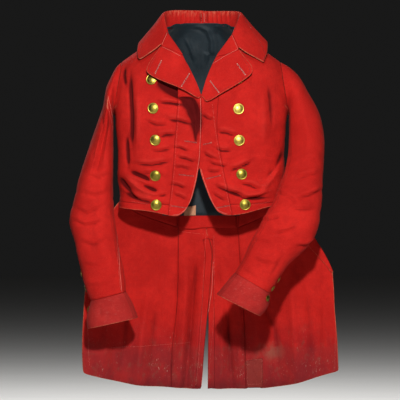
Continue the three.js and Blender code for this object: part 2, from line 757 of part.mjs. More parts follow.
const SKIRT_ROWS = [0, 0.03, 0.07, 0.12, 0.18, 0.24, 0.3, 0.36, 0.42, 0.52, 0.62, 0.7, 0.78, 0.86, 0.93, 1];
const SIDE_ROWS = [1, 0.88, 0.76, 0.63, 0.5, 0.37, 0.24, 0.12];
const TURN_ROUND = 3.4; // outer radius of the turned edge
const TURNED_EDGE = table("v wide", [
  [0.12, 10],
  [0.18, 19],
  [0.24, 22],
  [0.3, 16],
  [0.36, 9],
  [0.42, 2.5],
]);
const bodyParts = {};
for (const side of [-1, 1]) {
  const hand = side < 0 ? "right" : "left";
  const backX = (z) => {
    const shift = (read(TAIL_SEAM[side], WAIST_Z).x - 72) * ease((-250 - z) / 160);
    return read(BACK_SEAM, z).x + shift;
  };
  const qWaist = quarterOfX(backX(WAIST_Z), WAIST_Z, true);
  const waistSeam = (q) => mix(WAIST_SIDE_Z, WAIST_Z, (q - SIDE_SEAM) / (qWaist - SIDE_SEAM));
  const topSeam = onArmhole(BACK_TOP).z;
  const topSide = onArmhole(SIDE_TOP).z;

  // Side body: side seam, underarm, curved back seam, waist seam.
  const sidebody = (u, v) => {
    const za = mix(WAIST_SIDE_Z, topSide, v);
    const zb = mix(WAIST_Z, topSeam, v);
    const qb = quarterOfX(backX(zb) + SEAM / 2, zb, true);
    const q = mix(SIDE_SEAM + 0.0008, qb, u);
    const arm = onArmhole(mix(SIDE_TOP, BACK_TOP, u));
    const atTop = arm.z - mix(topSide, topSeam, u);
    const q0 = mix(SIDE_SEAM, qWaist, u);
    const atFoot = waistSeam(q0) + SEAM / 2 - mix(WAIST_SIDE_Z, WAIST_Z, u);
    const z = mix(za, zb, u) + atTop * clamp(v) ** 3 + atFoot * (1 - clamp(v)) ** 3;
    const lean = (arm.q - mix(SIDE_SEAM, onArmhole(BACK_TOP).q, u)) * clamp(v) ** 3;
    return bodyPoint(side, q + lean * (u < 1 ? 1 : 0), z);
  };
  panel("side_body_" + hand, "red_wool", sidebody, linspace(6), [...SIDE_ROWS, 0].reverse());

  // Back: centre seam and vent edge on one side; armhole, curved seam and tail seam on the other.
  const hemAt = (x) => read(HEM_Z, side * x).z;
  const centreX = (z) => read(CENTRE[side], z).x;
  const outerX = (z) => (z > WAIST_Z ? backX(z) : read(TAIL_SEAM[side], z).x);
  const tipX = oval(onArmhole(2).q, -28).x;
  const hemSeam = hemAt(outerX(-819));
  const split = 0.16;
  const neckEnd = 0.42;
  const back = (u, v) => {
    const over = v < 0;
    const w = Math.abs(v);
    const n = read(BACK_NECK, clamp(1 - u / neckEnd));
    const along = clamp(u / neckEnd);
    const topX = u < neckEnd ? mix(centreX(64), NECK_HALF, along) : mix(NECK_HALF, tipX, (u - neckEnd) / (1 - neckEnd));
    const topZ = u < neckEnd ? read(BACK_NECK_BY_X, Math.abs(topX)).z : ridge(topX);
    const arm = onArmhole(mix(2, BACK_TOP, clamp(w / split)));
    const zc = mix(64, hemAt(centreX(-819)), w);
    const zo = w < split ? arm.z : mix(topSeam, hemSeam, (w - split) / (1 - split));
    const xo = w < split ? oval(arm.q, arm.z).x : outerX(zo) - SEAM / 2;
    const fade = (1 - clamp(w / 0.2)) ** 2;
    const lineX = mix(centreX(64), tipX, u);
    const lineZ = mix(64, ridge(tipX), u);
    const x = mix(centreX(zc) + SEAM / 2, xo, u) + (topX - lineX) * fade;
    let z = mix(zc, zo, u) + (topZ - lineZ) * fade;
    if (w > 0.9) z = mix(z, hemAt(x), ease((w - 0.9) / 0.1));
    const p = bodyPoint(side, quarterOfX(x, z, true), z, w === 0 && u >= neckEnd ? 0 : undefined);
    const lap = ease((WAIST_Z - 3 - z) / 12) * (1 - ease(u / 0.35));
    p[1] += lap * (side < 0 ? -5 : 2.5);
    return over ? [p[0], -p[1], p[2]] : p;
  };
  const rowAt = (z) => split + ((1 - split) * (z - topSeam)) / (hemSeam - topSeam);
  const backRows = [0, 0.012, 0.03, 0.06, 0.09, 0.125]
    .concat(SIDE_ROWS.map((v) => rowAt(mix(WAIST_Z, topSeam, v))))
    .concat(SKIRT_ROWS.map((v) => rowAt(mix(WAIST_Z, hemSeam, v))));
  const outward = () => [0, 1, 0.2];
  const backAcross = [0, 0.1, 0.2, 0.31, neckEnd, 0.55, 0.7, 0.85, 1];
  const backGrid = panel("back_" + hand, "red_wool", back, backAcross, backRows, { outward });

  // Skirt: hangs from the waist seam between the tail seam and its free front edge.
  const skirt = (u, v) => {
    const q = mix(qWaist, SIDE_SEAM + 0.002, u);
    const zTop = waistSeam(q) - SEAM / 2;
    const start = bodyPoint(side, q, zTop);
    const e = read(SKIRT_EDGE[side], v);
    const zs = mix(WAIST_Z, hemSeam, v);
    const xs = outerX(Math.min(zs, WAIST_Z)) + SEAM / 2;
    const bunch = (Math.abs(start[0]) - outerX(WAIST_Z)) / (196 - outerX(WAIST_Z));
    const x = mix(xs, e.x, mix(bunch, u, ease(v / 0.5)));
    let z = mix(zs, e.z, u) + (zTop - mix(WAIST_Z, WAIST_SIDE_Z, u)) * (1 - Math.min(1, v / 0.15));
    if (v > 0.8) z = mix(z, hemAt(x), ease((v - 0.8) / 0.2));
    return [side * x, mix(start[1], tailY(side * x, z), ease((zTop - z) / TAIL_EASE)), z];
  };
  // The wearer's left skirt has its upper front edge folded back over its inner face.
  const turnedEdge = (points, normals, quads, us, vs) => {
    let before = null;
    vs.forEach((v, j) => {
      const turn = TURNED_EDGE.find((row) => row.v === v);
      if (!turn) {
        before = null;
        return;
      }
      const at = (us.length - 1) * vs.length + j;
      const [e, n] = [new THREE.Vector3(...points[at]), new THREE.Vector3(...normals[at])];
      const inward = new THREE.Vector3(...points[at - vs.length]).sub(e).normalize();
      const centre = e.clone().addScaledVector(n, -TURN_ROUND);
      const ids = [at];
      for (const degrees of [60, 120, 180]) {
        const a = (degrees * Math.PI) / 180;
        const away = n.clone().multiplyScalar(Math.cos(a)).addScaledVector(inward, -Math.sin(a));
        ids.push(points.length);
        points.push(centre.clone().addScaledVector(away, TURN_ROUND).toArray());
        normals.push(away.toArray());
      }
      const flat = new THREE.Vector3(...points.at(-1));
      for (const share of [0.5, 1]) {
        ids.push(points.length);
        points.push(flat.clone().addScaledVector(inward, turn.wide * share).toArray());
        normals.push(n.clone().negate().toArray());
      }
      if (before) for (let i = 0; i < 5; i++) quads.push([before[i], ids[i], ids[i + 1], before[i + 1]]);
      before = ids;
    });
  };
  const extend = side > 0 ? turnedEdge : undefined;
  const skirtGrid = panel("skirt_" + hand, "red_wool", skirt, linspace(12), SKIRT_ROWS, { outward, extend });

  // Vent facing: a strip along the vent edge, on the inner face.
  const ventTop = (64 + 452) / 883;
  const ventRows = backRows.filter((v) => v > ventTop + 0.01 && v < 0.999);
  const vent = (u, v) => [mix(0.014, side < 0 ? 0.2 : 0.19, u), v];
  sewnOn("vent_facing_" + hand, "red_wool", backGrid, vent, [0, 0.47, 1], [ventTop, ...ventRows, 0.9985], 1.6);
  bodyParts[side] = { skirtGrid };
}

// Mended place on the inner face of the wearer's left skirt, low beside the tail seam.
sewnOn(
  "hem_patch",
  "red_wool",
  bodyParts[1].skirtGrid,
  (u, v) => [u, v],
  [0.012, 1 / 24, 1 / 12, 1.5 / 12, 2 / 12, 0.185],
  [0.815, 0.86, 0.93, 0.975],
  1.8,
);

// ---------- inside the back: lining, waist facing, canvas tab ----------

const LINING_FOLDS = table("x z x2 z2 wide deep", [
  [0, 44, 14, 24, 6, 3.5],
  [14, 24, 16, -30, 7, 3],
  [-37, 17, -20, -24, 8, 2.6],
  [40, 10, 34, -60, 10, 2.2],
  [-60, -60, -30, -200, 20, 3],
  [50, -80, 40, -260, 22, 3],
]);
const insideBack = (x, z) => {
  const p = backPoint(x < 0 ? -1 : 1, Math.abs(x), z);
  return p;
};
panel(
  "back_lining",
  "navy_lining",
  (u, v) => {
    const width = mix(146, 94, ease(v * 1.2));
    const x = mix(-width, width, u);
    const a = Math.abs(x);
    const neck = read(BACK_NECK_BY_X, Math.min(a, NECK_HALF)).z - 1.5;
    const top = mix(neck, ridge(a) - 24, ease((a - 55) / 40));
    const z = mix(top, -397.4, v);
    const p = insideBack(x, z);
    p[1] -= folds(LINING_FOLDS, x, z) * ease(v / 0.05);
    return p;
  },
  linspace(12),
  [0, 0.03, 0.08, 0.14, 0.2, 0.27, 0.37, 0.5, 0.66, 0.83, 1],
  { outward: () => [0, 1, 0], lift: -(WOOL + LINING_REST), thick: LINING },
);
panel(
  "waist_facing",
  "red_wool",
  (u, v) => {
    const x = mix(-53, 86, u);
    const sag = 5 * Math.exp(-(((x + 25) / 16) ** 2));
    const p = insideBack(x, mix(-398.4, -427 - sag, v));
    p[1] -= v * sag * 0.5 + v * 0.8;
    return p;
  },
  linspace(8),
  [0, 0.5, 1],
  { outward: () => [0, 1, 0], lift: -(WOOL + 1.8), thick: 1.8 },
);
panel(
  "canvas_tab",
  "tan_canvas",
  (u, v) => {
    const x = mix(-41, -12, u);
    const p = insideBack(x, mix(-377 + 4 * u, -397.6, v));
    p[1] -= 2 * u * v + 0.6;
    return p;
  },
  linspace(3),
  linspace(3),
  { outward: () => [0, 1, 0], lift: -(WOOL + LINING_REST + LINING), thick: CANVAS },
);

// ---------- collar: two halves with stand and fall, and the ends that meet the lapels ----------

// Fold (f) and outer edge (e) from the middle back (s 0) to the seam of the collar end (s 1).
const COLLAR = {
  "-1": table("s fx fy fz ex ey ez", [
    [0, 0, 60, 99, 0, 88, 28],
    [0.22, 34, 57, 99.5, 56, 84, 24],
    [0.42, 68, 44, 99, 108, 64, 22],
    [0.58, 89, 16, 93, 146, 16, 24],
    [0.74, 90, -14, 79, 152, -24, 8],
    [0.88, 86, -38, 58, 153, -50, -12],
    [1, 80.6, -56, 42, 149, -72, -26],
  ]),
  1: table("s fx fy fz ex ey ez", [
    [0, 0, 60, 98, 0, 88, 28],
    [0.22, 34, 57, 97.5, 56, 84, 24],
    [0.42, 68, 44, 97, 108, 64, 22],
    [0.58, 93, 16, 94, 156, 16, 26],
    [0.74, 95, -14, 82, 160, -24, 10],
    [0.88, 86, -40, 60, 158, -48, -10],
    [1, 74, -58, 37, 150, -72, -30],
  ]),
};
const FOLD_ROUND = 5; // outer radius of the collar's fold
const V = (a) => new THREE.Vector3(...a);
for (const side of [-1, 1]) {
  const hand = side < 0 ? "right" : "left";
  const shift = (s) => 7 * (1 - ease(s / 0.4));
  const neckEnd = 0.6;
  const neckAt = (s) => {
    const n = s < 0.5 ? read(BACK_NECK, 1 - s * 2) : read(NECKLINE, mix(1, neckEnd, s * 2 - 1));
    const b = s < 0.5 ? backPoint(1, n.x, n.z) : frontPoint(1, n.x, n.z);
    return V([n.x, s < 0.44 || s > 0.56 ? b[1] : mix(b[1], 0, 1 - Math.abs(s - 0.5) / 0.06), n.z]);
  };
  const leafAt = (s, t) => V(leafPoint(1, FOLD[side], LEAF[side], s, t));
  const leafNormal = (s, t) => {
    const m = leafAt(s, t).sub(leafAt(s - 0.03, t)).cross(leafAt(s, t + 0.02).sub(leafAt(s, t - 0.02)));
    m.normalize();
    return m.y > 0 ? m.negate() : m;
  };
  const visibleLeaf = (s, t) => leafAt(s, t).addScaledVector(leafNormal(s, Math.min(t, 0.97)), WOOL);
  const notch = visibleLeaf(1, 1).add(V([0.8, 0, 3]));
  const section = (s) => {
    const c = read(COLLAR[side], s);
    const [f, e] = [V([c.fx, c.fy, c.fz]), V([c.ex, c.ey, c.ez])];
    const out = V([e.x - f.x, e.y - f.y, 0]).normalize();
    const n = neckAt(s).addScaledVector(out, -WOOL).add(V([0, 0, 0.8]));
    const knee = f.clone().lerp(e, 0.45);
    const end = read(COLLAR[side], 1);
    const endKnee = V([end.fx, end.fy, end.fz]).lerp(V([end.ex, end.ey, end.ez]), 0.45);
    knee.addScaledVector(notch.clone().sub(endKnee), ease((s - 0.6) / 0.4));
    const up = f.clone().sub(n).normalize().add(f.clone().sub(knee).normalize()).normalize();
    const over = knee.clone().sub(n);
    over.addScaledVector(up, -over.dot(up)).normalize();
    return { n, f, e, knee, up, over, centre: f.clone().addScaledVector(up, -FOLD_ROUND) };
  };
  const arc = (c, degrees) => {
    const a = (degrees * Math.PI) / 180;
    const p = c.centre.clone();
    return p.addScaledVector(c.up, FOLD_ROUND * Math.cos(a)).addScaledVector(c.over, FOLD_ROUND * Math.sin(a));
  };
  // t runs 0..0.3 up the stand, 0.3..0.5 round the fold, 0.5..0.72 to the knee, on to the edge at 1
  const collarPoint = (s, t) => {
    const c = section(s);
    let p;
    if (t < 0.3) p = c.n.lerp(arc(c, -80), t / 0.3);
    else if (t < 0.5) p = arc(c, mix(-80, 80, (t - 0.3) / 0.2));
    else if (t < 0.72) p = arc(c, 80).lerp(c.knee, (t - 0.5) / 0.22);
    else p = c.knee.lerp(c.e, (t - 0.72) / 0.28);
    return [side * p.x + shift(s), p.y, p.z];
  };
  const start = 0.0015;
  panel(
    "collar_" + hand,
    "red_wool",
    (u, v) => collarPoint(mix(start, 1, u), v),
    [0, 0.08, 0.16, 0.24, 0.32, 0.4, 0.47, 0.54, 0.61, 0.69, 0.77, 0.85, 0.93, 1],
    [0, 0.15, 0.3, 0.35, 0.4, 0.45, 0.5, 0.61, 0.72, 0.86, 1],
    { outward: (p) => [-p[0] + 7 * side, -p[1], 0], probe: [0.5, 0.1] },
  );

  // Collar end: a small wedge between the collar's own end seam and the gorge seam.
  const endT = [0, 0.3, 0.35, 0.4, 0.45, 0.5, 0.575, 0.65, 0.7];
  const seamRow = endT.map((t) => V(collarPoint(1, t)));
  const gorgeFold = V(frontBare(1, FOLD[side].at(-1).x, FOLD[side].at(-1).z));
  gorgeFold.y -= FOLD[side].at(-1).roll;
  const gorgeRow = endT.map((t) => {
    const a = mix(-80, 80, clamp((t - 0.3) / 0.2)) * (Math.PI / 180);
    if (t > 0.5) return visibleLeaf(1, mix(0.1, 0.93, (t - 0.5) / 0.2));
    if (t === 0) return gorgeFold.clone().add(V([6, 4, 4.5]));
    return gorgeFold.clone().add(V([-2.2 * Math.cos(a), -2.4 - 4.2 * Math.sin(a), 2.6]));
  });
  const gorgeWay = V([-0.4, 0, 0.91]).multiplyScalar(0.8);
  const points = [];
  const rows = 4;
  for (let j = 0; j <= rows; j++) {
    endT.forEach((t, i) => {
      const a = seamRow[i].clone();
      a.x *= side;
      const way = V(collarPoint(1, t)).sub(V(collarPoint(0.97, t))).normalize().multiplyScalar(1.7);
      way.x *= side;
      const p = a.add(way).lerp(gorgeRow[i].clone().add(gorgeWay), j / rows);
      points.push([side * p.x, p.y, p.z]);
    });
  }
  const quads = [];
  const wide = endT.length;
  for (let j = 0; j < rows; j++) {
    for (let i = 0; i < wide - 1; i++) {
      const a = j * wide + i;
      quads.push([a, a + 1, a + 1 + wide, a + wide]);
    }
  }
  const normals = smoothNormals(points, quads, () => [0, 0, 0]);
  const flip = normals[wide - 1][1] > 0 ? -1 : 1;
  const facing = normals.map((n) => n.map((c) => c * flip));
  // along its two seams the wedge takes its neighbours' slopes
  endT.forEach((t, i) => {
    const ds = V(collarPoint(0.999, t)).sub(V(collarPoint(0.99, t)));
    const dt = V(collarPoint(0.999, t + 0.01)).sub(V(collarPoint(0.999, t - 0.01)));
    const n = ds.cross(dt).normalize();
    if (n.dot(V(facing[i])) < 0) n.negate();
    facing[i] = n.toArray();
    if (t <= 0.5) return;
    const m = leafNormal(1, mix(0.1, 0.93, (t - 0.5) / 0.2));
    m.x *= side;
    facing[rows * wide + i] = m.toArray();
  });
  wall("collar_end_" + hand, "red_wool", points, facing, quads, WOOL);
}

// ---------- sleeves and cuffs ----------

// Each row is one section: its outer and inner point, how far forward its middle is, half its depth.
const SLEEVE = {
  "-1": table("k ox oz ix iz y deep", [
    [0, 190.8, -28, 206, -155, 0, 48],
    [1, 206, -42, 212, -159, 0, 54],
    [2, 217, -66, 211, -168, 0, 66],
    [3, 228, -86, 211, -181, 0, 74],
    [4, 231, -106, 211, -197, 0, 79],
    [5, 235, -134, 210.5, -214, 0, 82],
    [6, 245, -162, 210.5, -232, -2, 82],
    [7, 255, -190, 210.5, -246, -4, 80],
    [8, 263, -213, 210.5, -262, -6, 78],
    [9, 272, -240, 210.5, -280, -8, 75],
    [10, 287, -284, 211, -306, -12, 70],
    [11, 297, -323, 211, -336, -16, 64],
    [12, 306, -367, 209, -370, -20, 58],
    [13, 317, -402, 205.7, -400, -23, 54],
    [14, 316, -424, 203, -424, -26, 52],
    [15, 303, -456, 199, -454, -29, 50],
    [16, 297, -492, 193.5, -488, -32, 48],
    [17, 288, -526, 186, -520, -36, 46],
    [18, 280, -562, 180.5, -551, -40, 44],
    [19, 264.5, -601, 178.6, -579, -44, 43],
  ]),
  1: table("k ox oz ix iz y deep", [
    [0, 190.8, -28, 206, -155, 0, 48],
    [1, 210, -38, 211.5, -160, 0, 54],
    [2, 227, -52, 211, -170, 0, 62],
    [3, 241, -68, 211, -182, -2, 66],
    [4, 254, -95, 211, -198, -6, 67],
    [5, 274, -128, 210.5, -215, -12, 67],
    [6, 289, -161, 210, -232, -19, 65],
    [7, 296, -204, 208, -252, -30, 62],
    [8, 297.4, -246, 204, -273, -44, 59],
    [9, 293.5, -291, 194, -301, -66, 56],
    [10, 291, -333, 182, -332, -85, 54],
    [11, 288, -366, 168, -365, -99, 52],
    [12, 285, -398, 150, -396, -107, 51],
    [13, 279, -432, 138, -418, -111, 50],
    [14, 262, -465, 127, -438, -113, 48],
    [15, 233, -492, 114, -466, -112, 46],
    [16, 207, -512, 103, -492, -115, 45],
    [17, 188, -545, 91, -513, -118, 44],
    [18, 176, -566, 84.5, -523, -120, 43],
    [19, 165, -582, 80, -531.5, -121, 43],
  ]),
};
const CUFF = {
  "-1": table("k ox oz ix iz y deep", [
    [0, 264.5, -601.6, 178.5, -579.6, -44, 43],
    [1, 270, -628, 166, -604, -45, 48],
    [2, 273.5, -649, 158, -624, -46, 51],
    [3, 270.5, -667.5, 151.5, -641, -47, 53],
  ]),
  1: table("k ox oz ix iz y deep", [
    [0, 164.8, -582.6, 79.6, -532.1, -121, 43],
    [1, 162, -603, 65, -551, -122, 46],
    [2, 156, -619, 51, -568, -123, 49],
    [3, 140.5, -635.5, 38, -583.5, -124, 51],
  ]),
};
// Creases in a sleeve: degrees from the outer edge and rows, width in degrees and rows, depth.
const SLEEVE_FOLDS = {
  "-1": table("at k at2 k2 wide long deep", [
    [84, 5.2, 92, 9.4, 13, 1.2, -17],
    [128, 4, 132, 11, 20, 2, 4],
    [60, 11.6, 120, 12.6, 30, 0.35, -4],
    [70, 13.2, 140, 14.4, 30, 0.4, -5],
    [40, 14.6, 120, 15.8, 30, 0.4, -3.5],
    [250, 12.5, 300, 13.5, 30, 0.5, -5],
    [60, 16.6, 130, 17.4, 26, 0.4, 2.5],
  ]),
  1: table("at k at2 k2 wide long deep", [
    [120, 4.5, 110, 8, 16, 1.5, -5],
    [150, 8.6, 80, 9.6, 26, 0.5, -4],
    [165, 11, 90, 11.8, 26, 0.45, -6],
    [165, 12.6, 80, 12.8, 26, 0.45, -6],
    [160, 14.2, 70, 13.6, 28, 0.4, -5],
    [30, 9.9, 60, 10.3, 18, 0.3, -5],
    [110, 15.4, 60, 15.2, 30, 0.5, 3],
    [250, 11, 300, 12.5, 30, 0.6, -4],
  ]),
};
function ringPoint(rows, at, k, step) {
  const r = read(rows, k);
  const a = (at * Math.PI) / 180;
  const [c, s] = [Math.cos(a), Math.sin(a)];
  const e = 2.3;
  const reach = (Math.abs(c) ** e + Math.abs(s) ** e) ** (-1 / e);
  const half = Math.hypot(r.ox - r.ix, r.oz - r.iz) / 2;
  const wx = (r.ox - r.ix) / 2 / half;
  const wz = (r.oz - r.iz) / 2 / half;
  const over = (half + step) * reach * c;
  return [(r.ox + r.ix) / 2 + wx * over, r.y - (r.deep + step) * reach * s, (r.oz + r.iz) / 2 + wz * over];
}
function sleevePoint(side, at, k) {
  const rows = SLEEVE[side];
  const turn = ((at % 360) + 360) % 360;
  let sum = 0;
  for (const f of SLEEVE_FOLDS[side]) {
    const t = clamp(((turn - f.at) * (f.at2 - f.at) + 400 * (k - f.k) * (f.k2 - f.k)) /
      ((f.at2 - f.at) ** 2 + 400 * (f.k2 - f.k) ** 2));
    const da = (turn - mix(f.at, f.at2, t)) / f.wide;
    const dk = (k - mix(f.k, f.k2, t)) / f.long;
    sum += f.deep * Math.exp(-da * da - dk * dk);
  }
  const p = ringPoint(rows, turn, k, sum);
  if (k < 2) {
    // the head of the sleeve follows the armhole
    const fall = (1 - Math.cos((turn * Math.PI) / 180)) / 2;
    const c = turn <= 180 ? fall : 2 - fall;
    const arm = onArmhole(c);
    const o = bodyPoint(side, arm.q, arm.z, c === 0 || c === 2 ? 0 : undefined);
    const base = ringPoint(rows, turn, 0, 0);
    const w = (1 - Math.max(0, k) / 2) ** 2;
    return [side * (p[0] + (Math.abs(o[0]) + ARM_CLEAR - base[0]) * w), p[1] + (o[1] - base[1]) * w,
      p[2] + (o[2] - base[2]) * w];
  }
  return [side * p[0], p[1], p[2]];
}
const ARM_CLEAR = 2.6; // the sleeve head starts this far outside the armhole's edge
const SEAM_TURN = 0.25; // half a seam's clearance, in degrees round a sleeve
for (const side of [-1, 1]) {
  const hand = side < 0 ? "right" : "left";
  const middle = (k) => {
    const r = read(SLEEVE[side], k);
    return [(side * (r.ox + r.ix)) / 2, r.y, (r.oz + r.iz) / 2];
  };
  const last = SLEEVE[side].length - 1;
  const rows = SLEEVE[side].map((r) => r.k / last);
  const loosen = (k) => 1.3 * Math.exp(-(((k - 3.5) / 1.6) ** 2));
  const cover = (name, from, to, columns) => {
    const f = (u, v) => {
      const wide = loosen(v * last);
      const turn = from < 0 ? mix(from + wide, to, u) : mix(from, to - wide, u);
      return sleevePoint(side, turn, v * last);
    };
    const outward = (p) => {
      const m = middle(last / 2);
      return [p[0] - m[0], p[1] - m[1], p[2] - m[2]];
    };
    panel(name + hand, "red_wool", f, linspace(columns), rows, { outward, probe: [0.5, 0.5] });
  };
  const gap = SEAM_TURN;
  cover("top_sleeve_", HIND_SEAM - 360 + gap, FRONT_SEAM - gap, 11);
  cover("under_sleeve_", FRONT_SEAM + gap, HIND_SEAM - gap, 7);
  const cuff = (name, from, to, columns) => {
    const f = (u, v) => {
      const turn = mix(from, to, u);
      const p = ringPoint(CUFF[side], turn, v * 3, CUFF_STEP * ease(v * 4));
      return [side * p[0], p[1], p[2]];
    };
    const outward = (p) => {
      const r = read(CUFF[side], 1.5);
      return [p[0] - (side * (r.ox + r.ix)) / 2, p[1] - r.y, p[2] - (r.oz + r.iz) / 2];
    };
    panel(name + hand, "red_wool", f, linspace(columns), [0, 0.1, 0.33, 0.67, 1], { outward });
  };
  cuff("top_cuff_", HIND_SEAM - 360 + gap, FRONT_SEAM - gap, 10);
  cuff("under_cuff_", FRONT_SEAM + gap, HIND_SEAM - gap, 7);
}

// ---------- buttons: domed metal on a shank, standing on the cloth's face ----------

function button(name, diameter, at, normal, round) {
  const r = diameter / 2;
  const rim = diameter * 0.06;
  const dome = diameter * 0.2;
  const shank = diameter * 0.15;
  const profile = [
    [0, 0],
    [shank, 0],
    [shank, 1.1],
    [r * 0.95, 1.2],
    [r, 1.2 + rim],
    [r * 0.6, 1.1 + dome * 0.8],
    [0, 1.1 + dome],
  ].map(([x, y]) => new THREE.Vector2(x, y));
  const lathe = new THREE.LatheGeometry(profile, round);
  const n = V(normal).normalize();
  const turn = new THREE.Quaternion().setFromUnitVectors(V([0, 1, 0]), n);
  lathe.applyQuaternion(turn);
  lathe.translate(...at);
  const positions = [];
  const index = new Map();
  const faces = [];
  const source = lathe.getAttribute("position");
  const ids = [];
  for (let i = 0; i < source.count; i++) {
    const p = [source.getX(i), source.getY(i), source.getZ(i)];
    const key = p.map((c) => Math.round(c * 1e4)).join();
    if (!index.has(key)) {
      index.set(key, positions.length);
      positions.push(p);
    }
    ids.push(index.get(key));
  }
  const order = lathe.index.array;
  for (let i = 0; i < order.length; i += 3) {
    const [a, b, c] = [ids[order[i]], ids[order[i + 1]], ids[order[i + 2]]];
    if (a !== b && b !== c && a !== c) faces.push([a, b, c]);
  }
  add(name, "brass", positions, faces);
}
// Height of the cloth under a shank, along the button's axis: the highest of the facets it stands on.
const SEAT = 0.35; // clearance under a button's shank
function seated(at, normal, diameter) {
  const n = V(normal).normalize();
  const side = new THREE.Vector3(0, 0, 1).cross(n).normalize();
  const up = n.clone().cross(side);
  const carries = /^(forepart|waistband|top_sleeve|top_cuff)/;
  const under = part.children.filter((mesh) => carries.test(mesh.name));
  let best = 60;
  for (const [reach, turns] of [[0, 1], [0.15, 8]]) {
    for (let i = 0; i < turns; i++) {
      const a = (i / turns) * 2 * Math.PI;
      const from = V(at).addScaledVector(n, 40);
      from.addScaledVector(side, diameter * reach * Math.cos(a)).addScaledVector(up, diameter * reach * Math.sin(a));
      const hits = new THREE.Raycaster(from, n.clone().negate()).intersectObjects(under);
      if (hits.length) best = Math.min(best, hits[0].distance);
    }
  }
  return V(at).addScaledVector(n, 40 - best + SEAT).toArray();
}
const normalOf = (f, a, b, ea, eb) => {
  const du = V(f(a + ea, b)).sub(V(f(a - ea, b)));
  const dv = V(f(a, b + eb)).sub(V(f(a, b - eb)));
  return du.cross(dv).normalize();
};
const FRONT_BUTTONS = {
  "-1": table("row x z", [
    [1, 117.8, -73],
    [2, 114, -141.6],
    [3, 108.7, -217.4],
    [4, 108.7, -302],
    [5, 106.3, -372],
  ]),
  1: table("row x z", [
    [1, 90, -70],
    [2, 89.3, -143.3],
    [3, 91, -218],
    [4, 97, -298.3],
    [5, 105, -371],
  ]),
};
const CUFF_BUTTONS = {
  "-1": table("row at k", [
    [1, -6, 17.3],
    [2, -8, 18.3],
    [3, -10, 19.7],
  ]),
  1: table("row at k", [
    [1, 8, 17.2],
    [2, 20, 18.3],
    [3, 34, 19.6],
  ]),
};
for (const side of [-1, 1]) {
  const hand = side < 0 ? "right" : "left";
  for (const b of FRONT_BUTTONS[side]) {
    const f = (x, z) => frontPoint(side, x, z);
    const n = normalOf(f, b.x, b.z, 8, 8);
    if (n.y > 0) n.negate();
    const p = seated(f(b.x, b.z), n.toArray(), BIG_BUTTON);
    button("front_button_" + hand + "_" + b.row, BIG_BUTTON, p, n.toArray(), 12);
  }
  for (const b of CUFF_BUTTONS[side]) {
    const onCuff = b.k > 19;
    const f = (at, k) => {
      if (!onCuff) return sleevePoint(side, at, k);
      const p = ringPoint(CUFF[side], at, k - 19, CUFF_STEP);
      return [side * p[0], p[1], p[2]];
    };
    const n = normalOf(f, b.at, b.k, 6, 0.2);
    const r = read(SLEEVE[side], 18);
    const away = V(f(b.at, b.k)).sub(V([(side * (r.ox + r.ix)) / 2, r.y, (r.oz + r.iz) / 2]));
    if (n.dot(away) < 0) n.negate();
    const p = seated(f(b.at, b.k), n.toArray(), SMALL_BUTTON);
    button("cuff_button_" + hand + "_" + b.row, SMALL_BUTTON, p, n.toArray(), 8);
  }
}

export default part;
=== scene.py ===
import math
import random

import bmesh
import bpy
import numpy as np
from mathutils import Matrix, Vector
from mathutils.bvhtree import BVHTree
from mathutils.kdtree import KDTree


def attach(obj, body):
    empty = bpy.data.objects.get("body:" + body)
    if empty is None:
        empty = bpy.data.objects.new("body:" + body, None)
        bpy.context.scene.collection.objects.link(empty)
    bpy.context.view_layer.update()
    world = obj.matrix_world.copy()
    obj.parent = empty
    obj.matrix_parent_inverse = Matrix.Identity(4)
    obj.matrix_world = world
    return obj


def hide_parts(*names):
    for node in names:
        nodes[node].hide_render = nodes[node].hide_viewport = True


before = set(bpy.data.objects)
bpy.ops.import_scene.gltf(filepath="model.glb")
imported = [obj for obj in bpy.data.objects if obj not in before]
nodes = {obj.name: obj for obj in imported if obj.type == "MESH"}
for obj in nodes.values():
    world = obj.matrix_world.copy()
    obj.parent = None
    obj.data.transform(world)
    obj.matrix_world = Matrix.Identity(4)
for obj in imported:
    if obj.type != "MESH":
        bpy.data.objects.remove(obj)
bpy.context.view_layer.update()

scene = bpy.context.scene
random.seed(7)

MM = 0.001
SCALE = 0.0024  # metres per unit of the drawing grid
GRID = 400  # units of the drawing grid along each side
ORIGIN_GX, ORIGIN_GY = 201, 50  # the grid place of x 0 and z 0


def at(gx, gy):
    """A grid place, counted from the top left, as x and z in metres."""
    return ((gx - ORIGIN_GX) * SCALE, (ORIGIN_GY - gy) * SCALE)


# ---------- camera ----------

CAMERA_FAR = 9.0
GRID_Y = -0.02  # the upright plane in which the grid has its stated scale
SENSOR = 36
camera = bpy.data.objects.new("camera", bpy.data.cameras.new("camera"))
scene.collection.objects.link(camera)
middle_x, middle_z = at(GRID / 2, GRID / 2)
camera.location = (middle_x, GRID_Y - CAMERA_FAR, middle_z)
camera.rotation_euler = (math.radians(90), 0, 0)
camera.data.sensor_width = SENSOR
camera.data.lens = SENSOR * CAMERA_FAR / (GRID * SCALE)
camera.data.clip_end = 100
scene.camera = camera
scene.view_settings.view_transform = "Standard"

# ---------- small tools ----------


def smooth(t):
    t = np.clip(t, 0, 1)
    return t * t * (3 - 2 * t)


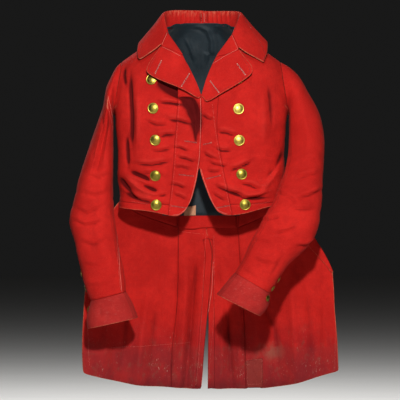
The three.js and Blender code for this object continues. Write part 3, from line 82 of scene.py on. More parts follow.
def noise(p, size, seed=0):
    """Soft value noise, -1 to 1, at points (n, 3); size is one length or three, in metres."""
    q = p / np.asarray(size) + 31.7 * (seed + 1)
    i = np.floor(q)
    f = q - i
    f = f * f * (3 - 2 * f)
    total = 0
    for dx in (0, 1):
        for dy in (0, 1):
            for dz in (0, 1):
                c = i + (dx, dy, dz)
                h = np.sin(c[:, 0] * 127.1 + c[:, 1] * 311.7 + c[:, 2] * 74.7 + seed * 13.1) * 43758.5453
                h = (h - np.floor(h)) * 2 - 1
                w = np.where(dx, f[:, 0], 1 - f[:, 0]) * np.where(dy, f[:, 1], 1 - f[:, 1])
                total = total + h * w * np.where(dz, f[:, 2], 1 - f[:, 2])
    return total


def ridged(p, size, seed=0):
    """Narrow creases: near 1 on a crease and 0 away from it."""
    return np.clip(1 - 3.2 * np.abs(noise(p, size, seed)), 0, 1) ** 1.5


def nearest_on(p, line):
    """For points by a line of places: the way out to each, how far along it lies and the line's direction
    there. The line's length comes last."""
    best = np.full(len(p), np.inf)
    out = np.zeros(p.shape)
    way = np.zeros(p.shape)
    along = np.zeros(len(p))
    run = 0.0
    for a, b in zip(line, line[1:]):
        d = b - a
        long = np.linalg.norm(d)
        t = np.clip((p - a) @ d / (long * long), 0, 1)
        v = p - a - t[:, None] * d
        r = np.linalg.norm(v, axis=1)
        closer = r < best
        best[closer] = r[closer]
        out[closer] = v[closer]
        way[closer] = d / long
        along[closer] = run + t[closer] * long
        run += long
    return out, along, way, run


UNDERSIDE = 0.55  # width of a step fold's underside, as a share of its top's
STEP_GAIN = 2.6  # a step fold's height over a round fold's of the same depth


def lines(p, rows):
    """Folds drawn as lines seen from the front: grid points, width and depth in mm. Out is positive.
    A fourth value makes a step: a round ridge over a narrow tucked-in underside."""
    sunk = np.zeros(len(p))
    seen = p[:, [0, 2]]
    for points, wide, deep, *step in rows:
        q = np.array([at(*point) for point in points])
        w = wide * MM
        near = ((seen > q.min(0) - 4 * w) & (seen < q.max(0) + 4 * w)).all(1)
        if not near.any():
            continue
        out, along, way, total = nearest_on(seen[near], q)
        if step:
            above = (out[:, 1] * way[:, 0] - out[:, 0] * way[:, 1]) * np.copysign(1, way[:, 0])
            w = np.where(above < 0, UNDERSIDE * w, w)
        form = np.exp(-((np.linalg.norm(out, axis=1) / w) ** 1.5))
        if step:
            form = form * STEP_GAIN * np.clip(above / w + 0.12, -1.2, 1.2)
        end = np.minimum(along, total - along) / max(total * 0.3, 1e-6)
        sunk[near] += deep * MM * form * (0.15 + 0.85 * smooth(end))
    return sunk


# ---------- fold tables: (grid points), width mm, depth mm ----------

FRONT_LINES = [
    # wearer's right front
    ([(130.5, 70), (131, 92), (132.7, 118), (132.1, 152)], 5, -5.6),
    ([(125, 66), (124, 76), (126, 88)], 4, -4),
    ([(138, 88), (139, 120), (138, 150)], 8, 4),
    ([(127, 136), (127.5, 150), (128.6, 168)], 4, -5),
    ([(118.5, 176), (126, 186), (137, 200)], 5, -7),
    ([(124, 174), (136, 184), (152, 197)], 8, 7),
    ([(128, 173), (140, 178), (152, 183)], 6.6, -5.2, 1),
    ([(138, 186), (148, 190), (160, 195)], 6.6, -4.5, 1),
    ([(134, 163), (152, 164), (171, 160)], 7.4, 4.4, 1),
    ([(150, 196), (160, 195), (168, 193)], 6.6, 3.4, 1),
    ([(158, 102), (170, 102.5), (184, 105)], 7.4, 3.9, 1),
    ([(166, 119), (178, 120), (192, 124)], 7.4, 4.7, 1),
    ([(156, 137), (166, 134), (178, 134)], 7.4, 3.4, 1),
    ([(146, 120), (156, 124), (168, 124)], 6.6, 2.6, 1),
    ([(172, 147), (180, 147), (190, 151)], 5.9, 4.2, 1),
    ([(176, 156), (186, 158), (197, 162)], 5.9, 4.7, 1),
    ([(173, 166), (182, 166), (192, 169)], 5.9, 3.6, 1),
    ([(170, 183), (178, 184), (187, 188)], 6.3, 4.7, 1),
    ([(173, 193), (180, 195), (188, 199)], 5.9, 4.2, 1),
    ([(150, 150), (160, 150), (172, 148)], 6.6, 3.1, 1),
    ([(142, 172), (154, 172), (166, 176)], 6.6, 3.1, 1),
    ([(122, 190), (142, 199), (168, 204)], 7, 4, 1),
    ([(226, 188), (246, 197), (270, 196)], 8, 5, 1),
    ([(150, 76), (170, 88), (184, 98), (192, 108), (196, 122), (197, 140)], 13, -11),
    ([(186, 94), (193, 103), (197, 118)], 6, -4),
    ([(196, 118), (195, 132), (196, 146)], 3.4, -3),
    # wearer's left front
    ([(268, 82), (270, 108), (272, 136)], 7, -2.4),
    ([(262, 90), (263, 120), (262, 150)], 11, 3),
    ([(216, 131), (226, 132), (238, 136)], 7.4, 3.6, 1),
    ([(203, 114), (208, 118), (214, 120)], 6.6, 3.1, 1),
    ([(214, 147), (222, 150), (232, 150)], 6.6, 3.4, 1),
    ([(203, 152), (210, 156), (220, 161)], 6.3, 4.7, 1),
    ([(208, 161), (217, 164), (228, 166)], 6.3, 3.9, 1),
    ([(206, 170), (214, 171), (222, 170)], 5.9, 3.4, 1),
    ([(228, 170), (240, 166), (252, 160)], 7.4, 4.2, 1),
    ([(214, 184), (228, 190), (243, 194)], 7.4, 5.2, 1),
    ([(212, 192), (219, 196), (226, 200)], 5.9, 3.6, 1),
    ([(238, 182), (250, 184), (262, 190)], 7.4, 3.9, 1),
    ([(240, 198), (254, 196), (270, 192)], 6.6, 3.9, 1),
    ([(281, 160), (272, 178), (258, 194)], 7, 4),
    ([(284, 150), (276, 168), (264, 180)], 6, -3.5),
]
TAIL_LINES = [
    ([(197, 232), (195.2, 276), (193.2, 302), (190, 338), (187.5, 366), (185, 389)], 5, -9.5),
    ([(205, 240), (201, 290), (197, 350), (193, 388)], 7, 4.1),
    ([(187, 236), (186, 290), (182, 350), (179, 388)], 9, 5.4),
    ([(178.6, 231), (177.3, 276), (175.4, 334), (170.9, 366), (170.9, 388)], 4, -3.4),
    ([(149.3, 290), (142.9, 321), (139, 359), (136, 386)], 9, 8.1),
    ([(158, 300), (153, 330), (150, 384)], 8, -6.8),
    ([(128, 300), (124, 340), (120, 382)], 9, -6.8),
    ([(112, 270), (108, 320), (103, 376)], 10, 6.8),
    ([(164, 250), (162, 290), (163, 340)], 8, -4.1),
    ([(237.9, 232), (239, 242), (245.2, 335), (246.6, 384)], 4, -3.4),
    ([(227.9, 300), (229, 337), (230.7, 359), (232.9, 391)], 5, -9.5),
    ([(222, 290), (222, 340), (222, 390)], 8, 5.4),
    ([(238, 270), (240, 320), (240, 388)], 7, 4.7),
    ([(219.5, 262), (219.5, 290)], 6, -5.4),
    ([(229, 234), (229, 252)], 6, -4.1),
    ([(262, 250), (266.3, 311), (276.5, 333), (280, 380)], 8, -8.1),
    ([(254, 250), (256, 320), (258, 388)], 10, 5.4),
    ([(290, 270), (294, 320), (298, 384)], 12, 8.1),
    ([(306, 280), (312, 330), (314, 380)], 8, -6.8),
    ([(322, 290), (325, 330), (326, 372)], 8, 5.4),
    ([(308, 223), (318, 236), (329, 252)], 5, -9),
    ([(310, 217), (321, 228), (331, 243)], 4, 4),
]
RIGHT_ARM_LINES = [
    ([(99, 88), (100, 100), (103, 118), (106, 136)], 5, -6),
    ([(110, 86), (109, 110), (112, 138)], 6, 3),
    ([(96, 128), (94, 150), (96, 176)], 7, -2.5),
    ([(84, 172), (98, 177), (110, 173)], 7, 2.6, 1),
    ([(80, 190), (96, 194), (110, 190)], 7, 3.3, 1),
    ([(74, 206), (88, 212), (104, 204)], 7, 3.7, 1),
    ([(72, 218), (86, 224), (104, 220)], 7, 3.3, 1),
    ([(80, 240), (94, 243), (110, 238)], 7, 2.6, 1),
    ([(82, 262), (96, 264), (112, 260)], 7, 2.2, 1),
    ([(84, 284), (100, 284), (116, 280)], 7, 2.2, 1),
    ([(96, 200), (94, 230), (98, 262)], 8, -2),
]
LEFT_ARM_LINES = [
    ([(287, 92), (294, 87), (305, 80)], 5, -6),
    ([(286, 99), (286, 118), (288, 134)], 4.5, -4),
    ([(300, 100), (306, 130), (308, 156)], 10, 3),
    ([(300, 160), (310, 158), (321, 160)], 7, 3.4, 1),
    ([(294, 178), (308, 174), (320, 172)], 7, 5.2, 1),
    ([(296, 196), (308, 194), (322, 188)], 7, 5.8, 1),
    ([(288, 206), (300, 208), (314, 208)], 7, 3.9, 1),
    ([(276, 190), (288, 196), (300, 206)], 8.4, 3.4, 1),
    ([(258, 220), (270, 217), (281, 214)], 7, 4.1, 1),
    ([(272, 232), (284, 230), (296, 226)], 7, 3.4, 1),
    ([(294, 244), (304, 244), (316, 238)], 7, 4.6, 1),
    ([(250, 238), (260, 240), (272, 240)], 7, 3.4, 1),
    ([(252, 256), (262, 260), (272, 262)], 7, 3.4, 1),
    ([(240, 266), (250, 272), (262, 280)], 5, -3),
    ([(282, 254), (276, 266), (270, 276)], 6, -3),
]
CUFF_LINES = [
    ([(92, 300), (106, 297.5), (126, 291.8)], 3, -1.6),
    ([(239, 293.6), (250, 298), (262.3, 303.6)], 3, -2.4),
    ([(100, 304), (101, 318)], 6, -2.5),
    ([(112, 300), (116, 316)], 7, 2.5),
    ([(244, 280), (236, 290)], 6, -2.5),
]
COLLAR_GATHERS = (
    165, 170, 174.5, 179, 184, 188.5, 193, 198, 209, 213.5, 218, 222.5, 227, 231.5, 235.5, 239,
)
COLLAR_LINES = [([(x, 8), (x + 0.6, 24)], 2.8, 3.4) for x in COLLAR_GATHERS] + [
    ([(229.5, 8), (230, 24)], 2.6, -3.4),
    ([(233.5, 8), (234.4, 24)], 2.6, -3.4),
    ([(201, 9), (201, 23)], 2.2, -2.4),
    ([(207, 9), (207, 23)], 2.2, -2.4),
]
LINING_LINES = [
    ([(190, 26), (200, 27), (206, 31), (209.5, 40), (210, 52), (207, 64)], 7, 4, 1),
    ([(216, 28), (219, 42), (219, 58)], 7, 2),
    ([(183.5, 37), (189, 48), (193.5, 62)], 6, 3, 1),
    ([(196, 42), (199, 54), (200, 70)], 7, 2),
    ([(226, 30), (223, 46), (217, 62)], 6, 2),
]

# The middle line of each sleeve from shoulder to cuff, in mm; -1 is the wearer's right.
AXES = {
    -1: [(-198, 0, -91), (-219, 0, -133), (-228, -2, -197), (-241, -8, -260), (-257, -20, -368),
         (-251, -29, -455), (-222, -44, -590), (-211, -47, -654)],
    1: [(198, 0, -91), (226, -2, -125), (250, -19, -196), (244, -66, -296), (218, -107, -397),
        (174, -112, -479), (122, -121, -557), (89, -124, -609)],
}


def arm_frame(p, side):
    """Direction out of the sleeve's middle line, and how far along it, at points."""
    out, along, _, _ = nearest_on(p, np.array(AXES[side]) * MM)
    return out / np.maximum(np.linalg.norm(out, axis=1), 1e-9)[:, None], along


def torso_way(p):
    """Direction out of the body, taken as a flat oval, at points."""
    v = np.stack([p[:, 0] / 0.04, p[:, 1] / 0.0095, np.zeros(len(p))], 1)
    return v / np.maximum(np.linalg.norm(v, axis=1), 1e-9)[:, None]


BACKWARD = np.array([0, 1.0, 0])


def billow(p, size=0.05, high=0.8, seed=3):
    """Soft rise and fall of the cloth; high is in mm."""
    return (noise(p, size, seed) * high + noise(p, size / 3, seed + 1) * high * 0.35) * MM


def corners(o):
    return np.array([v.co[:] for v in o.data.vertices])


SHANKS = [corners(nodes[n]).mean(0) for n in nodes if n.startswith("front_button")]
SHANK_REACH = 0.016


def flat_at_buttons(p):
    """0 under a front button, 1 away from it: the shank holds the cloth."""
    free = np.ones(len(p))
    for c in SHANKS:
        far = np.hypot(p[:, 0] - c[0], p[:, 2] - c[2])
        free *= 1 - np.exp(-((far / SHANK_REACH) ** 4))
    return free


# Each of these gives how far the points of a piece move, and the depth of its folds for the
# material: where it is raised the wool is painted paler, as rubbed nap and painted highlight,
# and where it is sunk the cloth gets painted shade.

FRONT_GAIN = 1.35
TAIL_TOP = -0.43  # below this height the tails hang free
TAIL_SHADE, ARM_SHADE, COLLAR_SHADE = 0.28, 0.45, 1.6  # share of the depth that the material sees


def keep_still(p):
    return p * 0, p[:, 0] * 0


def move_front(p):
    way = torso_way(p)
    show = smooth((-way[:, 1] - 0.1) / 0.5) * smooth((0.02 - p[:, 2]) / 0.08)
    deep = lines(p, FRONT_LINES) * show * FRONT_GAIN
    cross = ridged(p, (0.09, 0.09, 0.022), 11) * 0.9 * MM * smooth((-0.1 - p[:, 2]) / 0.08)
    deep = deep + billow(p) * smooth((0.06 - p[:, 2]) / 0.1) - cross
    deep = deep * flat_at_buttons(p)
    return way * deep[:, None], deep


def move_lapel(p):
    way = torso_way(p)
    deep = lines(p, FRONT_LINES) * smooth((-0.112 - p[:, 2]) / 0.008) + billow(p, 0.03, 0.6, 5)
    return way * deep[:, None], deep


def move_tail(p):
    low = smooth((TAIL_TOP - p[:, 2]) / 0.12)
    up = 1 - low
    hang = lines(p, TAIL_LINES) * low
    hang = hang + noise(p, (0.035, 0.3, 0.22), 21) * 2.8 * MM * low
    hang = hang - ridged(p, (0.05, 0.3, 0.16), 23) * 2.2 * MM * low
    hem = smooth((-0.66 - p[:, 2]) / 0.12)
    hang = hang + noise(p, (0.028, 0.3, 0.05), 25) * 1.6 * MM * hem
    body = billow(p, 0.06, 0.9, 8) - ridged(p, (0.1, 0.1, 0.035), 28) * 1.2 * MM
    body = body * up * smooth((0.02 - p[:, 2]) / 0.08)
    way = torso_way(p)
    return -BACKWARD * hang[:, None] + way * body[:, None], (hang + body) * TAIL_SHADE


def move_arm(side):
    rows = RIGHT_ARM_LINES if side < 0 else LEFT_ARM_LINES

    def move(p):
        way, along = arm_frame(p, side)
        front = smooth((-way[:, 1] + 0.15) / 0.6)
        free = smooth((along - 0.03) / 0.08)
        deep = lines(p, rows) * front * free + lines(p, CUFF_LINES) * front
        bend = np.exp(-(((along - 0.33) / 0.14) ** 2))
        turn = np.arctan2(way[:, 1], way[:, 0]) * 0.05
        q = np.stack([turn, turn * 0, along], 1)
        deep = deep - ridged(q, (0.11, 1, 0.03), 31 + side) * MM * (0.3 + 1.5 * bend) * free
        deep = deep + noise(q, (0.07, 1, 0.045), 35 + side) * MM * (0.8 + 1.2 * bend) * free
        deep = deep + billow(p, 0.03, 0.4, 37) * free
        return way * deep[:, None], deep * ARM_SHADE

    return move


def move_collar(p):
    inside = smooth((-0.02 + p[:, 1]) / 0.03) * smooth((p[:, 2] - 0.055) / 0.02)
    way = torso_way(p)
    deep = lines(p, COLLAR_LINES) * inside
    soft = billow(p, 0.03, 0.5, 41)
    return -way * deep[:, None] + way * soft[:, None], deep * COLLAR_SHADE + soft


# Across the back, by distance from the middle, in mm: the height of the lining's top as cut, its
# height as drawn up over the foot of the collar stand, and y at the stand's inner face.
LINING_CUT = ([0, 24.3, 48.7, 73, 97.3, 121.7, 146], [62.5, 60.1, 56, 41.4, 10, -6, -22])
LINING_DRAWN = ([0, 60, 78, 88, 96, 146], [68, 68, 63, 54, 11, -40])
STAND_FACE = ([0, 30, 50, 60, 70, 75, 80, 85, 90], [44, 37, 26, 17, 7, 2, -6, -12, -14])
DRAWN_BAND = 46  # mm of the lining that move with its top
LINING_CLEAR = 0.0034  # from a wall's face to the lining's middle
LOOSE_FORWARD = 0.012  # what the lining may come forward anywhere
NECK_INSIDE_Y = -0.03


def reach_up(p):
    """The lining's top is drawn up the foot of the collar stand to a straight edge."""
    a = np.abs(p[:, 0]) / MM
    z = p[:, 2] / MM
    top = np.interp(a, *LINING_CUT)
    up = smooth(1 - (top - z) / DRAWN_BAND) * np.maximum(np.interp(a, *LINING_DRAWN) - top, 0)
    high = smooth((z + up - 18) / 30)
    room = np.maximum(p[:, 1] - np.interp(a, *STAND_FACE) * MM, 0)
    most = np.maximum(room * high * (1 - smooth((a - 94) / 12)), LOOSE_FORWARD)
    # the stand bulges beside the neck, so the lining stands further off it there
    spare = 0.008 * np.exp(-(((a - 71) / 14) ** 2)) * smooth((z + up - 25) / 15)
    out = np.zeros_like(p)
    out[:, 2] = up * MM
    for i in np.nonzero(z > top - DRAWN_BAND)[0]:
        start = Vector((p[i, 0], NECK_INSIDE_Y, p[i, 2] + out[i, 2]))
        wall = others_of["back_lining"].ray_cast(start, Vector(BACKWARD))[0]
        need = most[i] if wall is None else p[i, 1] + LINING_CLEAR + spare[i] - wall.y
        out[i, 1] = -min(max(need, 0.0), most[i])
    return out


def move_lining(p):
    up = reach_up(p)
    p = p + up
    high = smooth((p[:, 2] + 0.5) / 0.05)
    deep = lines(p, LINING_LINES) + ridged(p, (0.03, 0.2, 0.09), 45) * -0.8 * MM
    deep = (deep + billow(p, 0.03, 0.5, 46)) * high * (0.15 + 0.85 * smooth((0.066 - p[:, 2]) / 0.02))
    deep = np.maximum(deep, -0.0018)
    return up - BACKWARD * deep[:, None], deep


# ---------- cloth: each wall of the frame, subdivided, folded and worn ----------

CREASE_ANGLE = 1.08  # radians, between a wall's face and its rim
RIM_WIDTH = 0.0022  # a group of faces with less area than this for its border's length is a rim
CORNER_LENGTH, CORNER_FREE = 0.0033, 0.006  # a rim's short edge, and how far off its neighbours are
SEAM_REACH = 0.0034  # a rim with a neighbour nearer than this is sewn to it
SEAM_LAP = 0.0004  # sewn rims are drawn this far past the middle of their gap
CLOSING, CLOSING_END = 0.004, 0.012  # how far from a seam the cloth is drawn to close it
GROOVE_WIDTH = 0.0026
NO_SEAM = 0.05  # the distance that stands for no seam or no free edge
MERGE = 3e-6

coarse = {}
for name, o in nodes.items():
    if "button" not in name:
        bm = bmesh.new()
        bm.from_mesh(o.data)
        bmesh.ops.remove_doubles(bm, verts=bm.verts, dist=MERGE)
        bm.verts.index_update()
        coarse[name] = bm


def tree_of(meshes):
    """One tree to measure to from several lots of points and faces."""
    verts, faces = [], []
    for points, loops in meshes:
        first = len(verts)
        verts += points
        faces += [[first + i for i in loop] for loop in loops]
    return BVHTree.FromPolygons(verts, faces)


walls = {
    name: ([v.co.copy() for v in bm.verts], [[v.index for v in f.verts] for f in bm.faces])
    for name, bm in coarse.items()
}
others_of = {name: tree_of([walls[n] for n in walls if n != name]) for name in walls}


def kd(points):
    tree = KDTree(max(1, len(points)))
    for i, p in enumerate(points):
        tree.insert(p, i)
    tree.balance()
    return tree


def mark_rims(name):
    """Creases a wall's sharp edges, and gives its narrow rims the second material."""
    bm = coarse[name]
    bmesh.ops.join_triangles(bm, faces=bm.faces[:], angle_face_threshold=1.0, angle_shape_threshold=3.1)
    crease = bm.edges.layers.float.new("crease_edge")
    for e in bm.edges:
        e[crease] = 1.0 if len(e.link_faces) == 2 and e.calc_face_angle(0) > CREASE_ANGLE else 0.0
    left = set(bm.faces)
    rim_faces = set()
    while left:
        group = [left.pop()]
        border = 0.0
        for f in group:
            for e in f.edges:
                if e[crease]:
                    border += e.calc_length()
                    continue
                for g in e.link_faces:
                    if g in left:
                        left.remove(g)
                        group.append(g)
        area = sum(f.calc_area() for f in group)
        if area / max(border, 1e-9) < RIM_WIDTH:
            for f in group:
                f.material_index = 1
                rim_faces.add(f)
    for e in bm.edges:  # a free corner is cut round
        if e[crease] and e.calc_length() < CORNER_LENGTH and all(f in rim_faces for f in e.link_faces):
            if all(others_of[name].find_nearest(v.co, CORNER_FREE)[0] is None for v in e.verts):
                e[crease] = 0.0


def smoothed(name, level, materials):
    """The object of a wall, subdivided."""
    mesh = bpy.data.meshes.new(name)
    coarse[name].to_mesh(mesh)
    for m in materials:
        mesh.materials.append(m)
    o = bpy.data.objects.new("cloth_" + name, mesh)
    scene.collection.objects.link(o)
    mod = o.modifiers.new("smooth", "SUBSURF")
    mod.levels = mod.render_levels = level
    bpy.context.view_layer.update()
    made = bpy.data.meshes.new_from_object(o.evaluated_get(bpy.context.evaluated_depsgraph_get()))
    o.modifiers.clear()
    made.name = "cloth_" + name
    o.data = made
    return o


def coordinates(mesh):
    co = np.empty(len(mesh.vertices) * 3)
    mesh.vertices.foreach_get("co", co)
    return co.reshape(-1, 3)


def rims(name, mesh, p):
    """The rim's points that are sewn, with the move that closes the seam, and those that are free."""
    sewn, pull, free = [], [], []
    for i in sorted({i for f in mesh.polygons if f.material_index == 1 for i in f.vertices}):
        here = Vector(p[i])
        near = others_of[name].find_nearest(here, SEAM_REACH)[0]
        if near is None:
            free.append(here)
        else:
            way = near - here
            sewn.append(here)
            pull.append(way * 0.5 + way.normalized() * SEAM_LAP)
    return sewn, pull, free


def outward(name, p):
    if "sleeve" in name or "cuff" in name:
        return arm_frame(p, -1 if "right" in name else 1)[0]
    return torso_way(p)


fine = {}


def cloth(name, level, materials, move, groove=0.7):
    """One cut piece: smoothed, drawn to its seams, folded by move, and grooved along its seams."""
    mark_rims(name)
    o = smoothed(name, level, materials)
    mesh = o.data
    p = coordinates(mesh)
    n = len(p)
    sewn, pull, free = rims(name, mesh, p)
    seam = np.full(n, NO_SEAM)
    edge = np.full(n, NO_SEAM)
    close = np.zeros((n, 3))
    if sewn:
        tree = kd(sewn)
        for i in range(n):
            _, k, seam[i] = tree.find(p[i])
            if groove and seam[i] < CLOSING_END:
                close[i] = pull[k] * math.exp(-((seam[i] / CLOSING) ** 2))
    if free:
        tree = kd(free)
        for i in range(n):
            edge[i] = tree.find(p[i])[2]
    shift, deep = move(p)
    shift = shift + close
    if groove:
        way = outward(name, p)
        sink = groove * MM * np.exp(-((seam / GROOVE_WIDTH) ** 2))
        if "skirt" in name or ("back" in name and "lining" not in name):
            low = smooth((TAIL_TOP - p[:, 2]) / 0.03)[:, None]
            shift = shift + BACKWARD * sink[:, None] * low - way * sink[:, None] * (1 - low)
        else:
            shift = shift - way * sink[:, None]
    mesh.vertices.foreach_set("co", (p + shift).ravel())
    for key, values in (("seam", seam), ("edge", edge), ("deep", deep)):
        mesh.attributes.new(key, "FLOAT", "POINT").data.foreach_set("value", values.astype(np.float32))
    mesh.update()
    mesh.polygons.foreach_set("use_smooth", [True] * len(mesh.polygons))
    mesh.set_sharp_from_angle(angle=math.radians(58))
    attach(o, "root")
    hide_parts(name)
    fine[name] = o


# ---------- materials ----------


class Nodes:
    """A small hand for node trees."""

    def __init__(self, name):
        self.material = bpy.data.materials.new(name)
        self.material.use_nodes = True
        self.tree = self.material.node_tree
        self.shader = self.tree.nodes["Principled BSDF"]
        self.place = self.tree.nodes.new("ShaderNodeTexCoord").outputs["Object"]

    def feed(self, socket, value):
        """Links a node's output to a socket, or gives the socket a plain value."""
        if hasattr(value, "is_output"):
            self.tree.links.new(value, socket)
        else:
            socket.default_value = value

    def node(self, kind, inputs=(), **settings):
        n = self.tree.nodes.new(kind)
        for key, value in settings.items():
            setattr(n, key, value)
        for key, value in dict(inputs).items():
            self.feed(n.inputs[key], value)
        return n

    def set(self, **values):
        """Feeds the shader's inputs by name."""
        for key, value in values.items():
            self.feed(self.shader.inputs[key.replace("_", " ")], value)

    def math(self, operation, a, b):
        return self.node("ShaderNodeMath", {0: a, 1: b}, operation=operation).outputs[0]

    def times(self, a, b):
        return self.math("MULTIPLY", a, b)

    def vector(self, operation, a, b=(0, 0, 0)):
        return self.node("ShaderNodeVectorMath", {0: a, 1: b}, operation=operation)

    def grain(self, scale, detail, rough, stretch=None):
        """Noise, 0 to 1, about 0.5."""
        place = self.place
        if stretch:
            place = self.node("ShaderNodeMapping", {"Vector": place, "Scale": stretch}).outputs[0]
        inputs = {"Vector": place, "Scale": scale, "Detail": detail, "Roughness": rough}
        return self.node("ShaderNodeTexNoise", inputs).outputs["Fac"]

    def ramp(self, value, low, high, a=0.0, b=1.0):
        """A smooth step from a, where the value is low, to b, where it is high."""
        ends = {"Value": value, "From Min": low, "From Max": high, "To Min": a, "To Max": b}
        return self.node("ShaderNodeMapRange", ends, interpolation_type="SMOOTHSTEP").outputs[0]

    def mix(self, amount, a, b):
        """From colour a to colour b."""
        n = self.node("ShaderNodeMix", data_type="RGBA")
        for socket, value in ((n.inputs[0], amount), (n.inputs[6], a), (n.inputs[7], b)):
            self.feed(socket, (*value, 1) if isinstance(value, tuple) else value)
        return n.outputs[2]

    def attribute(self, name):
        return self.node("ShaderNodeAttribute", attribute_name=name).outputs["Fac"]

    def axis(self, index):
        return self.node("ShaderNodeSeparateXYZ", {0: self.place}).outputs[index]

    def spot(self, x, y, z, radius, stretch=(1, 1, 1)):
        """1 at a place, 0 beyond the radius."""
        near = self.vector("SUBTRACT", self.place, (x, y, z)).outputs[0]
        near = self.vector("MULTIPLY", near, stretch).outputs[0]
        far = self.vector("LENGTH", near).outputs["Value"]
        return self.ramp(far, 0, radius, 1, 0)

    def bump(self, height, strength, distance, normal=None):
        inputs = {"Height": height, "Strength": strength, "Distance": distance}
        if normal:
            inputs["Normal"] = normal
        return self.node("ShaderNodeBump", inputs).outputs[0]


RUBBED = (  # x, y, z and radius of the places where the nap is rubbed off
    (0.165, -0.08, -0.31, 0.05), (-0.23, -0.09, -0.62, 0.07), (0.11, -0.17, -0.57, 0.08),
    (0.05, -0.17, -0.61, 0.05), (-0.13, -0.11, -0.33, 0.04), (0.12, 0, 0.01, 0.05), (-0.12, 0, 0.02, 0.05),
)


def wool_ground(m, dye):
    """The dyed cloth, broadly and finely uneven, with pale fibres."""
    broad = m.ramp(m.grain(14, 3, 0.6), 0.35, 0.65)
    col = m.mix(broad, dye(0.40, 0.0075, 0.006), dye(0.52, 0.013, 0.010))
    mottled = m.ramp(m.grain(70, 4, 0.65), 0.38, 0.7)
    col = m.mix(m.times(mottled, 0.45), col, dye(0.33, 0.007, 0.007))
    fibre = m.ramp(m.grain(900, 3, 0.7), 0.3, 0.75)
    col = m.mix(m.times(fibre, 0.35), col, dye(0.72, 0.035, 0.026))
    worn = m.ramp(m.grain(330, 4, 0.8), 0.52, 0.76, 0, 0.34)
    return m.mix(worn, col, dye(0.66, 0.06, 0.045))


def worn_and_shaded(m, col, dye):
    """Ridges are painted paler, as rubbed nap and painted highlight, and troughs get painted shade; some
    places and the collar's fold are worn.
    """
    deep = m.attribute("deep")
    # raised folds: paler, partly rubbed nap and partly painted highlight
    col = m.mix(m.ramp(deep, 0.001, 0.006, 0, 0.22), col, dye(0.62, 0.04, 0.03))
    # sunk folds: painted shade, near black where they sink deepest
    col = m.mix(m.ramp(deep, -0.0006, -0.0043, 0, 0.88), col, dye(0.05, 0.002, 0.003))
    rub = m.spot(*RUBBED[0])
    for place in RUBBED[1:]:
        rub = m.math("MAXIMUM", rub, m.spot(*place))
    rub = m.times(rub, m.ramp(m.grain(210, 5, 0.75, (0.5, 0.5, 1.6)), 0.54, 0.74, 0, 0.45))
    col = m.mix(rub, col, dye(0.56, 0.13, 0.10))
    threads = m.ramp(m.grain(230, 4, 0.7, (1, 0.3, 0.3)), 0.42, 0.66, 0, 0.5)
    fold = m.times(m.ramp(m.axis(2), 0.078, 0.099), threads)
    return m.mix(fold, col, dye(0.74, 0.20, 0.12))


def muddied(m, col, dirt):
    """Mud and rain marks towards the hem: blotches up to a tide line, brown mud, specks and a smear."""
    z = m.axis(2)

    def below(scale, detail, wander, start, full, stretch=None):
        """From a ragged line at one height to another under it."""
        ragged = m.times(m.grain(scale, detail, 0.6, stretch), wander)
        return m.ramp(m.math("ADD", z, ragged), start, full)

    low = below(9, 4, 0.16, -0.54, -0.70, (1.6, 1.6, 0.6))
    blotch = m.ramp(m.grain(26, 5, 0.65, (1, 1, 0.6)), 0.30, 0.68, 0.5, 1.0)
    col = m.mix(m.times(m.times(low, blotch), 0.72 * dirt), col, (0.155, 0.011, 0.018))
    col = m.mix(m.times(below(18, 3, 0.02, -0.700, -0.712), 0.25 * dirt), col, (0.20, 0.03, 0.03))
    brown = m.ramp(m.grain(55, 5, 0.7, (1, 1, 0.7)), 0.52, 0.7)
    col = m.mix(m.times(m.times(low, brown), 0.55 * dirt), col, (0.21, 0.055, 0.04))
    speck = m.ramp(m.grain(300, 4, 0.65, (1, 1, 0.55)), 0.60, 0.70)
    speck = m.times(speck, m.ramp(m.grain(24, 3, 0.6), 0.46, 0.62, 0.15, 1.0))
    col = m.mix(m.times(m.times(low, speck), 0.75 * dirt), col, (0.45, 0.26, 0.21))
    smear = m.spot(0.168, 0.07, -0.728, 0.05, (1, 0.3, 1.6))
    smear = m.times(smear, m.ramp(m.grain(60, 4, 0.6), 0.3, 0.6))
    col = m.mix(m.times(smear, 0.6), col, (0.26, 0.10, 0.07))
    hem = below(30, 3, 0.03, -0.765, -0.805)
    return m.mix(m.times(hem, 0.5 * dirt), col, (0.06, 0.008, 0.012))


def edged(m, col, pale_rim, fray_share):
    """Seams lie dark, and free edges are rubbed to their pale threads."""
    dark = m.ramp(m.attribute("seam"), 0.0002, 0.0016, 1, 0)
    col = m.mix(m.times(dark, 0.5), col, (0.12, 0.004, 0.005))
    fray = m.ramp(m.grain(260, 4, 0.7), 0.34, 0.62)
    if fray_share:
        frayed = m.times(m.ramp(m.attribute("edge"), 0.0004, 0.0020, 1, 0), fray)
        col = m.mix(m.times(frayed, fray_share), col, (0.56, 0.15, 0.085))
    if pale_rim:
        col = m.mix(m.times(fray, 0.5), col, (0.52, 0.17, 0.10))
    return col


def wool(name, dirt=1.0, pale_rim=False, tint=(1, 1, 1), fray_share=0.75):
    """Milled red wool. dirt is the share of the mud at the hem; tint multiplies the dye's colours."""
    m = Nodes(name)

    def dye(*colour):
        return tuple(a * b for a, b in zip(colour, tint))

    col = muddied(m, worn_and_shaded(m, wool_ground(m, dye), dye), dirt)
    col = edged(m, col, pale_rim, fray_share)
    m.set(Base_Color=col, Roughness=0.88, Specular_IOR_Level=0.09)
    m.set(Sheen_Weight=0.03, Sheen_Roughness=0.45, Sheen_Tint=(1.0, 0.35, 0.28, 1))
    soft, nap, weave = m.grain(75, 3, 0.55), m.grain(480, 4, 0.75), m.grain(1500, 2, 0.6)
    normal = m.bump(soft, 0.5, 0.0016)
    normal = m.bump(nap, 0.45, 0.0007, normal)
    m.set(Normal=m.bump(weave, 0.4, 0.0003, normal))
    return m.material


